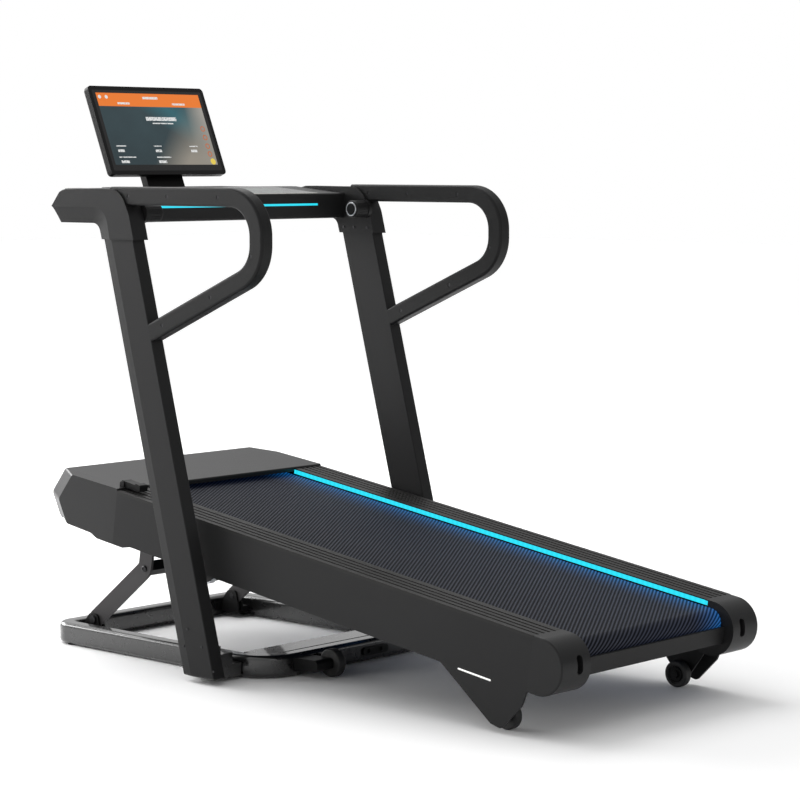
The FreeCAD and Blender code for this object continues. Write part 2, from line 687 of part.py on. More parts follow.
def screen_lugs():
    """Two lugs on the back of the screen with the pin they turn on."""
    y, z = screen_hinge_place()
    lugs = []
    for x0 in (-70, 58):
        profile = [(SCREEN_THICKNESS, z - 22), (y, z - 14, 10), (y + 14, z, 10), (y, z + 14, 10),
                   (SCREEN_THICKNESS, z + 22)]
        lugs.append(side_prism(profile, x0, x0 + 12))
    return tilted(fuse(lugs[0], lugs[1], rod(-70, 70, y, z, HINGE_RADIUS)))


def screen_neck():
    """Leaning slab on the console that ends in a barrel for the screen's pin."""
    y, z = screen_hinge_place()
    slab = side_prism([(NECK_FRONT, -60), (NECK_BACK, -60), (NECK_BACK, 20, 3), (NECK_FRONT, 20, 3)],
                      -NECK_HALF_WIDTH, NECK_HALF_WIDTH)
    tongue = side_prism([(NECK_FRONT, 10), (NECK_BACK, 10), (NECK_BACK, z), (NECK_FRONT, z)], -54, 54)
    barrel = rod(-54, 54, y, z, 13)
    neck = fuse(slab, tongue, barrel).cut(rod(-54, 54, y, z, HINGE_RADIUS + RUNNING))
    return max(tilted(neck).cut(console_solid(0)).Solids, key=lambda solid: solid.CenterOfMass.z)


# ---- lift frame ----
def lift_path():
    return [(LIFT_FOOT_Y, LIFT_FOOT_Z), (LIFT_KNEE_Y, LIFT_KNEE_Z, LIFT_ARM_BAND / 2 + 6), LIFT_HEAD]


def lift_arm():
    """Bent flat plate from the base's pivot to the deck's."""
    outer, inner = -LIFT_ARM_OUTER, -LIFT_ARM_OUTER + LIFT_ARM_THICKNESS
    ends = [rod(outer, inner, y, z, LIFT_ARM_BAND / 2) for y, z in (lift_path()[0], LIFT_HEAD)]
    arm = fuse(side_prism(band(lift_path(), LIFT_ARM_BAND / 2), outer, inner), *ends)
    for y, z in (lift_path()[0], LIFT_HEAD):
        arm = arm.cut(rod(outer, inner, y, z, PIN_RADIUS + RUNNING))
    return arm


def lift_axes():
    """Directions along the arms from knee to foot and square to it, upwards."""
    lean = math.atan2(LIFT_FOOT_Z - LIFT_KNEE_Z, LIFT_FOOT_Y - LIFT_KNEE_Y)
    return V(0, math.cos(lean), math.sin(lean)), V(0, -math.sin(lean), math.cos(lean))


def lift_cross_tube():
    """Square tube at the knees that ties the two arms, open between the lever's plates for the rod."""
    half = LIFT_ARM_OUTER - LIFT_ARM_THICKNESS
    size = LIFT_TUBE / 2
    along = lift_axes()[0]
    tube = box((-half, half), (-size, size), (-size, size))
    tube = tube.cut(box((-half, half), (-size + 3, size - 3), (-size + 3, size - 3)))
    tube = tube.cut(box((LEVER_X - LEVER_GAP / 2, LEVER_X + LEVER_GAP / 2), (-size, size), (-size, size)))
    tube.rotate(V(0, 0, 0), V(1, 0, 0), math.degrees(math.atan2(along.z, along.y)))
    tube.translate(V(0, LIFT_KNEE_Y, LIFT_KNEE_Z))
    return tube


def lift_lever():
    """Two plates on the cross tube, with the pin between them that the lift motor's rod pushes."""
    along, across = lift_axes()
    root, pin = V(0, LIFT_KNEE_Y, LIFT_KNEE_Z), V(0, LEVER_Y, LEVER_Z)
    size = LIFT_TUBE / 2
    corners = [root + along * size + across * size, pin + across * 17 - along * 8, pin + along * 18,
               pin - across * 20, root + along * size - across * size]
    points = [(p.y, p.z, r) for p, r in zip(corners, (0, 12, 12, 12, 0))]
    x0, x1 = LEVER_X - LEVER_GAP / 2, LEVER_X + LEVER_GAP / 2
    plates = [side_prism(points, x0 - 6, x0), side_prism(points, x1, x1 + 6)]
    return fuse(plates[0], plates[1], rod(x0 - 10, x1 + 10, LEVER_Y, LEVER_Z, PIN_RADIUS - 2))


def lift_pins():
    """Pivot pins at the foot and head of each arm, with heads outside the ears."""
    pins = []
    for y, z in (lift_path()[0], LIFT_HEAD):
        x0, x1 = -LIFT_ARM_OUTER - 7, -LIFT_ARM_OUTER + LIFT_ARM_THICKNESS + 7
        pins.append(fuse(rod(x0, x1, y, z, PIN_RADIUS - RUNNING), rod(x0 - 4, x0, y, z, 11)))
    left = group(*pins)
    return group(left, mirrored(left))


# ---- lift motor ----
def rod_direction():
    """Unit vector from the lift motor's pivot to the lever's pin."""
    run = V(0, LEVER_Y - MOTOR_PIVOT[0], LEVER_Z - MOTOR_PIVOT[1])
    run.normalize()
    return run


def along_rod(distance):
    pivot = V(LEVER_X, MOTOR_PIVOT[0], MOTOR_PIVOT[1])
    return pivot + rod_direction() * distance


def lift_motor():
    """Gear motor beside a screw tube, with a lug that hangs on the deck's pivot pin."""
    run = rod_direction()
    lean = math.degrees(math.atan2(run.z, run.y))
    tube = Part.makeCylinder(ROD_TUBE_RADIUS, 262, along_rod(28), run)
    lug = rod(LEVER_X - 12, LEVER_X + 12, *MOTOR_PIVOT, 16)
    neck = Part.makeBox(24, 30, 24, V(-12, 0, -12))
    gearbox = Part.makeBox(84, 50, 46, V(-30, 40, -23))
    for block in (neck, gearbox):
        block.rotate(V(0, 0, 0), V(1, 0, 0), lean)
        block.translate(along_rod(0))
    can = Part.makeCylinder(22, 105, along_rod(85) + V(32, 0, 0), run)
    whole = fuse(tube, lug, neck, gearbox, can)
    whole = whole.cut(Part.makeCylinder(ROD_RADIUS + 0.3, 240, along_rod(56), run))
    return whole.cut(rod(LEVER_X - 20, LEVER_X + 20, *MOTOR_PIVOT, PIN_RADIUS + RUNNING))


def lift_rod():
    """Screw rod that ends in a slotted eye round the lever's pin."""
    run = rod_direction()
    pin = V(0, LEVER_Y, LEVER_Z)
    end = pin + run * EYE_SLOT
    reach = V(0, LEVER_Y - MOTOR_PIVOT[0], LEVER_Z - MOTOR_PIVOT[1]).Length
    shaft = Part.makeCylinder(ROD_RADIUS, reach - 60 - 15, along_rod(60), run)

    def link(half_width, radius):
        x0, x1 = LEVER_X - half_width, LEVER_X + half_width
        middle = side_prism(band([(pin.y, pin.z), (end.y, end.z)], radius), x0, x1)
        return fuse(middle, rod(x0, x1, pin.y, pin.z, radius), rod(x0, x1, end.y, end.z, radius))

    return fuse(shaft, link(10, 22)).cut(link(11, PIN_RADIUS - 2 + LOOSE))


# ---- deck structure (drawn flat) ----
def steel_rail():
    length = (CAP_START_S + 4, HOOD_NOSE_S - 70)
    x = (-STEEL_OUTER, -STEEL_INNER)
    rail = box(x, length, (STEEL_BOTTOM, STEEL_TOP))
    hollow_x = (x[0] + STEEL_WALL, x[1] - STEEL_WALL)
    rail = rail.cut(box(hollow_x, length, (STEEL_BOTTOM + STEEL_WALL, STEEL_TOP - STEEL_WALL)))
    return rail.cut(rod(x[0], x[1], FRONT_ROLLER_S, ROLLER_H, ROLLER_SHAFT_RADIUS))


def cross_members():
    """Steel bars under the lower run of the belt, welded between the rails."""
    bars = []
    for s in (60, 420, 780, 1240):
        bars.append(box((-STEEL_INNER, STEEL_INNER), (s, s + 40), (STEEL_BOTTOM, CROSS_TOP)))
    hang = box((LEVER_X - 18, LEVER_X - 13), (MOTOR_PIVOT_S - 200, MOTOR_PIVOT_S + 16),
               (MOTOR_PIVOT_H - 14, CROSS_TOP))
    other = box((LEVER_X + 13, LEVER_X + 18), (MOTOR_PIVOT_S - 200, MOTOR_PIVOT_S + 16),
                (MOTOR_PIVOT_H - 14, CROSS_TOP))
    pin = rod(LEVER_X - 18, LEVER_X + 18, MOTOR_PIVOT_S, MOTOR_PIVOT_H, PIN_RADIUS)
    bars[2] = fuse(bars[2], hang, other, pin)
    bars[3] = fuse(bars[3], *head_brackets().Solids)
    return group(*bars)


def head_brackets():
    """Plates under the deck's front that hold the heads of the lift arms."""
    plate = 6.0
    profile = [(1245, CROSS_TOP), (LIFT_HEAD_S + 24, CROSS_TOP), (LIFT_HEAD_S + 20, LIFT_HEAD_H - 18, 16),
               (LIFT_HEAD_S - 20, LIFT_HEAD_H - 18, 16), (1280, STEEL_BOTTOM), (1245, STEEL_BOTTOM)]
    outer = -LIFT_ARM_OUTER - GAP
    inner = -LIFT_ARM_OUTER + LIFT_ARM_THICKNESS + GAP
    plates = []
    for x0 in (outer - plate, inner):
        sheet = side_prism(profile, x0, x0 + plate)
        plates.append(sheet.cut(rod(x0, x0 + plate, LIFT_HEAD_S, LIFT_HEAD_H, PIN_RADIUS)))
    left = group(*plates)
    return group(left, mirrored(left))


def deck_board():
    half = BELT_HALF + BOARD_OVERHANG
    return box((-half, half), (REAR_ROLLER_S + 90, FRONT_ROLLER_S - 60), (BOARD_BOTTOM, BOARD_TOP))


def board_cushions():
    pads = []
    for s in (0, 330, 660, 990, 1260):
        pad = box((-STEEL_INNER - 34, -STEEL_INNER - 6), (s, s + 60), (STEEL_TOP, BOARD_BOTTOM))
        pads += [pad, mirrored(pad)]
    return group(*pads)


def belt_loop(radius):
    """Solid form of the belt's loop at a distance from the roller centres."""
    height = (ROLLER_H - radius, ROLLER_H + radius)
    middle = box((-BELT_HALF, BELT_HALF), (REAR_ROLLER_S, FRONT_ROLLER_S), height)
    rear = rod(-BELT_HALF, BELT_HALF, REAR_ROLLER_S, ROLLER_H, radius)
    front = rod(-BELT_HALF, BELT_HALF, FRONT_ROLLER_S, ROLLER_H, radius)
    return fuse(middle, rear, front)


def running_belt():
    return belt_loop(BELT_RADIUS).cut(belt_loop(BELT_RADIUS - BELT_THICKNESS))


def roller(s, pulley):
    """Roller shell on its shaft; the front one carries the drive pulley at its left end."""
    half = BELT_HALF + 2
    body = rod(-half, half, s, ROLLER_H, ROLLER_RADIUS)
    if pulley:
        body = fuse(body, rod(-half - 14, -half, s, ROLLER_H, ROLLER_RADIUS + CROWN))
    return body.cut(rod(-half - 20, half + 1, s, ROLLER_H, ROLLER_SHAFT_RADIUS + RUNNING))


def roller_shafts():
    reach = STEEL_OUTER - 6
    return group(rod(-reach, reach, REAR_ROLLER_S, ROLLER_H, ROLLER_SHAFT_RADIUS),
                 rod(-reach, reach, FRONT_ROLLER_S, ROLLER_H, ROLLER_SHAFT_RADIUS))


def foot_rail():
    """Ribbed rail that the runner stands on beside the belt."""
    top = box((-HALF, -RAIL_INNER), (CAP_START_S, HOOD_START_S), (-RAIL_THICKNESS, 0))
    lip = box((-RAIL_INNER - 5, -RAIL_INNER), (CAP_START_S, HOOD_START_S), (-BELT_DROP + 2, -RAIL_THICKNESS))
    rail = fuse(top, lip)
    pitch = (RAIL_WIDTH - 24) / GROOVE_COUNT
    for i in range(GROOVE_COUNT):
        x = -HALF + 16 + pitch * i
        rail = rail.cut(box((x, x + GROOVE_WIDTH), (CAP_START_S, HOOD_START_S), (-GROOVE_DEPTH, 0)))
    return rail


def led_strips():
    """Light strip let along the inner edge of each foot rail."""
    strip = box((-RAIL_INNER, -RAIL_INNER + 2), (CAP_START_S - 8, HOOD_START_S), (-BELT_DROP + 3, -3))
    return group(strip, mirrored(strip))


def side_skirt():
    """Side of the deck, drawn out at the back into the leg that carries the rear wheel."""
    low = AXLE_H - LEG_ROUNDING + 6
    points = [(CAP_START_S, -RAIL_THICKNESS), (HOOD_START_S, -RAIL_THICKNESS),
              (HOOD_START_S, -SKIRT_DEPTH - 9), (HOOD_START_S - 40, -SKIRT_DEPTH - 9, 10),
              (HOOD_START_S - 70, -SKIRT_DEPTH, 10),
              (LEG_FRONT_S, -SKIRT_DEPTH, 25), (AXLE_S + 8, low, 16), (AXLE_S - 26, low - 4, 14),
              (AXLE_S - 78, -SKIRT_DEPTH - 36, 10), (CAP_START_S, -SKIRT_DEPTH + 4)]
    return side_prism(points, -HALF, -HALF + SKIRT_WALL)


def wheel_brackets():
    """Steel plates inside the legs, from the deck's rails down to the wheels' bolts."""
    x0 = -WHEEL_X - WHEEL_WIDTH / 2 - 9
    points = [(AXLE_S - 50, STEEL_TOP - 4), (AXLE_S + 150, STEEL_TOP - 4),
              (AXLE_S + 110, -SKIRT_DEPTH - 10, 20), (AXLE_S + 14, AXLE_H - 10, 12),
              (AXLE_S - 18, AXLE_H - 10, 12), (AXLE_S - 60, -SKIRT_DEPTH - 20, 20)]
    plate = side_prism(points, x0, x0 + 5)
    web = box((x0, -STEEL_OUTER), (AXLE_S - 40, AXLE_S + 130), (STEEL_TOP - 14, STEEL_TOP - 4))
    bolt = rod(x0, -WHEEL_X + WHEEL_WIDTH / 2 + 4, AXLE_S, AXLE_H, WHEEL_BOLT_RADIUS)
    nut = rod(-WHEEL_X + WHEEL_WIDTH / 2 + GAP, -WHEEL_X + WHEEL_WIDTH / 2 + 6, AXLE_S, AXLE_H, 10)
    left = fuse(plate, web, bolt, nut)
    return group(left, mirrored(left))


def rear_wheel():
    x0, x1 = -WHEEL_X - WHEEL_WIDTH / 2, -WHEEL_X + WHEEL_WIDTH / 2
    wheel = rod(x0, x1, AXLE_S, AXLE_H, WHEEL_RADIUS)
    wheel = wheel.makeFillet(4, edges_where(wheel, lambda e: e.Length > 2 * WHEEL_RADIUS * 3))
    for x in (x0, x1 - 3):
        ring = rod(x, x + 3, AXLE_S, AXLE_H, WHEEL_RADIUS - 9).cut(rod(x, x + 3, AXLE_S, AXLE_H, 14))
        wheel = wheel.cut(ring)
    return wheel.cut(rod(x0, x1, AXLE_S, AXLE_H, WHEEL_BOLT_RADIUS + RUNNING))


def end_cap():
    """Round plastic end of the deck's side, slotted at the back for the belt's adjusting bolt."""
    bottom = -2 * CAP_RADIUS
    x0, x1 = -HALF, -BELT_HALF - BELT_GUARD_GAP
    block = box((x0, x1), (CAP_CENTRE_S, CAP_START_S), (bottom, 0))
    drum = rod(x0, x1, CAP_CENTRE_S, -CAP_RADIUS, CAP_RADIUS)
    drum = drum.cut(box((x0, x1), (CAP_CENTRE_S, CAP_CENTRE_S + CAP_RADIUS), (bottom, 0)))
    cap = fuse(block, drum)
    ends = edges_where(cap, lambda e: abs(e.BoundBox.XMax + HALF) < 0.01 and e.Length > 3 * CAP_RADIUS)
    cap = cap.makeFillet(4, ends)
    half = CAP_SLOT_WIDTH / 2
    middle = CAP_SLOT_INSET - HALF
    rear = CAP_CENTRE_S - CAP_RADIUS
    slot = box((middle - half, middle + half), (rear - 5, rear + 24),
               (CAP_SLOT_H - CAP_SLOT_HEIGHT / 2, CAP_SLOT_H + CAP_SLOT_HEIGHT / 2))
    slot = slot.makeFillet(8, edges_where(slot, lambda e: e.BoundBox.YLength > 10))
    bore = rod(-STEEL_OUTER + 6, x1, REAR_ROLLER_S, ROLLER_H, ROLLER_SHAFT_RADIUS)
    return cap.cut(slot).cut(bore).cut(led_strips())


def rear_crossbar():
    """Angle section between the end caps, which guards the belt where it turns."""
    x = BELT_HALF + BELT_GUARD_GAP
    rear = REAR_ROLLER_S - BELT_RADIUS - 2
    guard = box((-x, x), (rear - 8, rear), (GUARD_BOTTOM, GUARD_BOTTOM + 42))
    floor = box((-x, x), (rear, REAR_ROLLER_S + 20), (GUARD_BOTTOM, ROLLER_H - BELT_RADIUS - BELT_GUARD_GAP))
    return fuse(guard, floor)


# ---- motor bay (drawn flat) ----
def hood_face(nose, inset):
    """Side view of the hood with its nose at a station, drawn in by a wall's thickness."""
    points = [(HOOD_START_S, HOOD_RISE, 4), (nose - 48, HOOD_RISE - 4, 12), (nose, -78, 14),
              (nose - 42, -SKIRT_DEPTH + 2, 12), (HOOD_START_S + 92, -SKIRT_DEPTH, 6),
              (HOOD_START_S + 66, -SKIRT_DEPTH - 9, 6), (HOOD_START_S, -SKIRT_DEPTH - 9)]
    face = side_face(points)
    if inset:
        face = face.makeOffset2D(-inset)
    return face


def hood_solid(inset):
    """Hood's outer form, or its hollow when inset: straight in the middle, with a facet at each side."""
    straight = HALF - HOOD_CORNER
    middle = hood_face(HOOD_NOSE_S, inset)
    middle.translate(V(-straight, 0, 0))
    form = middle.extrude(V(2 * straight, 0, 0))
    rim = hood_face(HOOD_NOSE_S - HOOD_SETBACK * (HOOD_CORNER - inset) / HOOD_CORNER, inset)
    rim.translate(V(-HALF + inset, 0, 0))
    facet = Part.makeLoft([middle.OuterWire, rim.OuterWire], True, True)
    return fuse(form, facet, mirrored(facet))


def hood_lever_place():
    """Deck coordinates of the lever's pivot on the hood."""
    return HOOD_START_S + 13, HOOD_RISE + 9


def motor_hood():
    shell = hood_solid(0).cut(hood_solid(HOOD_WALL))
    x = (-HALF + HOOD_WALL, HALF - HOOD_WALL)
    opening = box(x, (HOOD_START_S - 1, HOOD_START_S + HOOD_WALL + 1), (-300, -RAIL_THICKNESS))
    belly = box(x, (HOOD_START_S, HOOD_NOSE_S - 60), (-200, -SKIRT_DEPTH + 10))
    hood = max(shell.cut(opening).cut(belly).Solids, key=lambda solid: solid.Volume)
    s, h = hood_lever_place()
    ear = [(s - 8, HOOD_RISE - 1), (s + 8, HOOD_RISE - 1), (s + 8, h + 6, 6), (s - 8, h + 6, 6)]
    outer, inner = LEVER_OUTER_X - GAP, LEVER_OUTER_X + LEVER_WIDTH + GAP
    ears = [side_prism(ear, outer - 3, outer), side_prism(ear, inner, inner + 3)]
    return fuse(hood, *ears, rod(outer - 3, inner + 3, s, h, LEVER_PIN_RADIUS))


def belly_pan():
    """Tray under the drive motor, narrower in front where the hood's facets close in."""
    half = HALF - HOOD_WALL - GAP
    low, high = -SKIRT_DEPTH, -SKIRT_DEPTH + 3
    narrow = HALF - HOOD_CORNER
    back = box((-half, half), (BELLY_START_S, HOOD_NOSE_S - 128), (low, high))
    front = box((-narrow, narrow), (HOOD_NOSE_S - 128, HOOD_NOSE_S - 60 - GAP), (low, high))
    lip = box((-half, half), (BELLY_START_S, BELLY_START_S + 3), (low, low + 22))
    return fuse(back, front, lip)


def drive_motor():
    """Drive motor on a saddle between the rails, with its shaft towards the front roller's pulley."""
    s, h = MOTOR_S, MOTOR_H
    can = rod(-150, 60, s, h, 46)
    ends = [rod(-160, -150, s, h, 40), rod(60, 72, s, h, 40)]
    shaft = rod(-BELT_HALF - 14, -160, s, h, MOTOR_SHAFT_RADIUS)
    saddle = box((-140, 50), (s - 46, s + 46), (-SKIRT_DEPTH + 3, h - 30))
    return fuse(can, ends[0], ends[1], shaft, saddle)


def motor_pulley():
    x0 = -BELT_HALF - 15
    pulley = rod(x0, x0 + 13, MOTOR_S, MOTOR_H, PULLEY_RADIUS)
    return pulley.cut(rod(x0 - 1, x0 + 14, MOTOR_S, MOTOR_H, MOTOR_SHAFT_RADIUS + RUNNING))


def drive_belt():
    """Ribbed belt from the motor's pulley to the front roller's."""
    x0, x1 = -BELT_HALF - 15, -BELT_HALF - 3
    roller_place, motor_place = V(0, FRONT_ROLLER_S, ROLLER_H), V(0, MOTOR_S, MOTOR_H)
    run = motor_place - roller_place
    lean = math.atan2(run.z, run.y)

    def loop(extra):
        near, far = ROLLER_RADIUS + CROWN + extra, PULLEY_RADIUS + extra
        spread = math.acos((near - far) / run.Length)
        places = []
        for centre, radius, turn in ((roller_place, near, spread), (motor_place, far, spread),
                                     (motor_place, far, -spread), (roller_place, near, -spread)):
            angle = lean + turn
            places.append((centre.y + radius * math.cos(angle), centre.z + radius * math.sin(angle)))
        ends = [rod(x0, x1, FRONT_ROLLER_S, ROLLER_H, near), rod(x0, x1, MOTOR_S, MOTOR_H, far)]
        return fuse(side_prism(places, x0, x1), *ends)

    return loop(3.3).cut(loop(0.3))


def control_box():
    """Motor controller on the tray's right half."""
    s = FRONT_ROLLER_S + 70
    x = (110, STEEL_INNER - 28)
    case = box(x, (s, s + 110), (-SKIRT_DEPTH + 3, -SKIRT_DEPTH + 60))
    for i in range(7):
        s0 = s + 10 + 14 * i
        case = case.cut(box(x, (s0, s0 + 7), (-SKIRT_DEPTH + 48, -SKIRT_DEPTH + 60)))
    return case


def hood_lever():
    """Foot lever on the hood's left edge, lying back over the foot rail."""
    s, h = hood_lever_place()
    low = HOOD_RISE + GAP
    x0, x1 = LEVER_OUTER_X, LEVER_OUTER_X + LEVER_WIDTH
    points = [(HOOD_START_S - 55, low), (s, low), (s, h + 8), (HOOD_START_S - 34, h + 7),
              (HOOD_START_S - 38, h + 11, 3), (HOOD_START_S - 55, h + 9, 4)]
    lever = fuse(side_prism(points, x0, x1), rod(x0, x1, s, h, h - low))
    return lever.cut(rod(x0, x1, s, h, LEVER_PIN_RADIUS + RUNNING))


PIECES = {
    "base_loop": base_loop(),
    "base_crossbar": base_crossbar(),
    "feet": group(base_feet(), post_cap(), mirrored(post_cap())),
    "pivot_brackets": pivot_brackets(),
    "rear_bar_fittings": group(transport_bracket(), level_plate()),
    "transport_wheel": transport_wheel(),
    "post_left": post(),
    "post_right": mirrored(post()),
    "post_brackets": group(post_bracket(), mirrored(post_bracket())),
    "elbow_cover_left": on_posts(elbow_cover()),
    "elbow_cover_right": on_posts(mirrored(elbow_cover())),
    "handrail_tubes": on_posts(group(handrail_tube(), mirrored(handrail_tube()))),
    "handrail_outer_left": on_posts(handrail_shell(True)),
    "handrail_inner_left": on_posts(handrail_shell(False)),
    "handrail_outer_right": on_posts(mirrored(handrail_shell(True))),
    "handrail_inner_right": on_posts(mirrored(handrail_shell(False))),
    "screws": screws(),
    "console_body": on_posts(console_body()),
    "console_panel": on_posts(console_panel()),
    "console_led": on_posts(console_led()),
    "console_beam": on_posts(console_beam()),
    "knob_left": on_posts(knob()),
    "knob_right": on_posts(mirrored(knob())),
    "screen_neck": on_posts(screen_neck()),
    "screen_bezel": on_posts(screen_bezel()),
    "screen_glass": on_posts(screen_glass()),
    "screen_back": on_posts(screen_back()),
    "screen_lugs": on_posts(screen_lugs()),
    "lift_arm_left": lift_arm(),
    "lift_arm_right": mirrored(lift_arm()),
    "lift_cross_tube": fuse(lift_cross_tube(), lift_lever()),
    "lift_pins": lift_pins(),
    "lift_motor": lift_motor(),
    "lift_rod": lift_rod(),
    "steel_rails": on_deck(group(steel_rail(), mirrored(steel_rail()))),
    "cross_members": on_deck(cross_members()),
    "deck_board": on_deck(deck_board()),
    "board_cushions": on_deck(board_cushions()),
    "running_belt": on_deck(running_belt()),
    "front_roller": on_deck(roller(FRONT_ROLLER_S, True)),
    "rear_roller": on_deck(roller(REAR_ROLLER_S, False)),
    "roller_shafts": on_deck(roller_shafts()),
    "foot_rail_left": on_deck(foot_rail()),
    "foot_rail_right": on_deck(mirrored(foot_rail())),
    "led_strips": on_deck(led_strips()),
    "side_skirt_left": on_deck(side_skirt()),
    "side_skirt_right": on_deck(mirrored(side_skirt())),
    "wheel_brackets": on_deck(wheel_brackets()),
    "rear_wheel_left": on_deck(rear_wheel()),
    "rear_wheel_right": on_deck(mirrored(rear_wheel())),
    "end_cap_left": on_deck(end_cap()),
    "end_cap_right": on_deck(mirrored(end_cap())),
    "rear_crossbar": on_deck(rear_crossbar()),
    "motor_hood": on_deck(motor_hood()),
    "belly_pan": on_deck(belly_pan()),
    "drive_motor": on_deck(drive_motor()),
    "motor_pulley": on_deck(motor_pulley()),
    "drive_belt": on_deck(drive_belt()),
    "control_box": on_deck(control_box()),
    "hood_lever": on_deck(hood_lever()),
}

# The footprint's middle goes to the origin.
FRONT_END_Y = max(shape.BoundBox.YMax for shape in PIECES.values())
ORIGIN_Y = (REAR_END_Y + FRONT_END_Y) / 2

os.makedirs("parts", exist_ok=True)
for name, shape in PIECES.items():
    placed = shape.copy()
    placed.translate(V(0, -ORIGIN_Y, 0))
    placed.exportStep(os.path.join("parts", name + ".step"))
    state = "valid" if placed.isValid() else "INVALID"
    print(name, len(placed.Solids), state, round(placed.Volume / 1000, 1))
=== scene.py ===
# %% [markdown]
# # Incline treadmill
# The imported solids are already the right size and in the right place. This notebook gives them their
# finishes, replaces the running belt with one that has a woven face to paint, and adds the small
# fittings that a machine of this kind carries. Everything is in metres, +X to the runner's right,
# +Y the way the runner faces and +Z up.

# %% Load the frame
import json
import math

import bmesh
import bpy
from mathutils import Matrix, Vector


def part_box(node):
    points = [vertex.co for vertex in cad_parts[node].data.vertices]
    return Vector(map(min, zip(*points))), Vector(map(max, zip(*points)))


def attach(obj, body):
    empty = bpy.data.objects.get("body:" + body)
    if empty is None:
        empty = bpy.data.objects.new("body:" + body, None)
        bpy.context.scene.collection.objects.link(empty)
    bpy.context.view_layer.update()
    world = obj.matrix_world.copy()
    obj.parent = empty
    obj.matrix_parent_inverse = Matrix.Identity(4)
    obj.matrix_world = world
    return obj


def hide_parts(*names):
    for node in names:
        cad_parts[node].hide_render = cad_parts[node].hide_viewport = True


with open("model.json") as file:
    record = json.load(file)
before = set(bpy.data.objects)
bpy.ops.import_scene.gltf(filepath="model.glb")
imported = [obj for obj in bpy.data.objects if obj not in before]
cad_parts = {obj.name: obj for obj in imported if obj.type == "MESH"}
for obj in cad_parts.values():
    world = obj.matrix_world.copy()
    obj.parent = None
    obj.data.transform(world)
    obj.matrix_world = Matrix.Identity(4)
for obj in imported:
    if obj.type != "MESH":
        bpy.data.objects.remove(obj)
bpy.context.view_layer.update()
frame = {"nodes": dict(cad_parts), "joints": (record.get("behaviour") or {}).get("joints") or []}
joints = {joint["name"]: joint for joint in frame["joints"]}
print("solids:", len(frame["nodes"]), "joints:", len(joints))

# %% [markdown]
# The deck slopes, so most of its details are easier to place in the deck's own directions. The two
# rollers give them: the line from the rear roller's middle to the front one's runs up the slope.
# Working from the joints keeps every fitting right if the incline is changed.

# %% Directions of the deck
rear_roller = Vector(joints["rear_roller_turn"]["pos_m"])
front_roller = Vector(joints["front_roller_turn"]["pos_m"])
up_slope = (front_roller - rear_roller).normalized()
off_deck = Vector((0, -up_slope.z, up_slope.y))
incline = math.atan2(up_slope.z, up_slope.y)
belt_run = (front_roller - rear_roller).length


def deck_place(x, along, off):
    """A point measured from the rear roller's middle: across, up the slope, off the deck."""
    return Vector((x, 0, 0)) + rear_roller + up_slope * along + off_deck * off


print("incline", round(math.degrees(incline), 2), "degrees; belt run", round(belt_run, 3), "m")

# %% [markdown]
# Shader maths reads best as plain sums. `Amount` wraps the socket of one number, so `a * b + 1`
# adds the Math nodes by itself, and the reflected forms let `1 - mask` work too. `Finish` holds one
# material, and its `node` adds any other node with its settings first and its sockets after.


# %% Sums on sockets
class Amount:
    """One number in a material, which can be used in sums."""

    def __init__(self, finish, socket):
        self.finish = finish
        self.socket = socket

    def work(self, operation, *others):
        return self.finish.node("ShaderNodeMath", {"operation": operation}, [self, *others])["Value"]

    def __add__(self, other):
        return self.work("ADD", other)

    __radd__ = __add__

    def __mul__(self, other):
        return self.work("MULTIPLY", other)

    __rmul__ = __mul__

    def __sub__(self, other):
        return self.work("SUBTRACT", other)

    def __rsub__(self, other):
        return self.finish.node("ShaderNodeMath", {"operation": "SUBTRACT"}, [other, self])["Value"]

    def __truediv__(self, other):
        return self.work("DIVIDE", other)

    def __pow__(self, other):
        return self.work("POWER", other)

    def __gt__(self, other):
        return self.work("GREATER_THAN", other)

    def __lt__(self, other):
        return self.work("LESS_THAN", other)

    def between(self, low, high):
        return (self > low) * (self < high)

    def wave(self):
        """Sine of this number of turns, from 0 to 1."""
        return (self * math.tau).work("SINE") * 0.5 + 0.5

    def held(self, low=0.0, high=1.0):
        return self.finish.node("ShaderNodeClamp", {}, [self, low, high])["Result"]


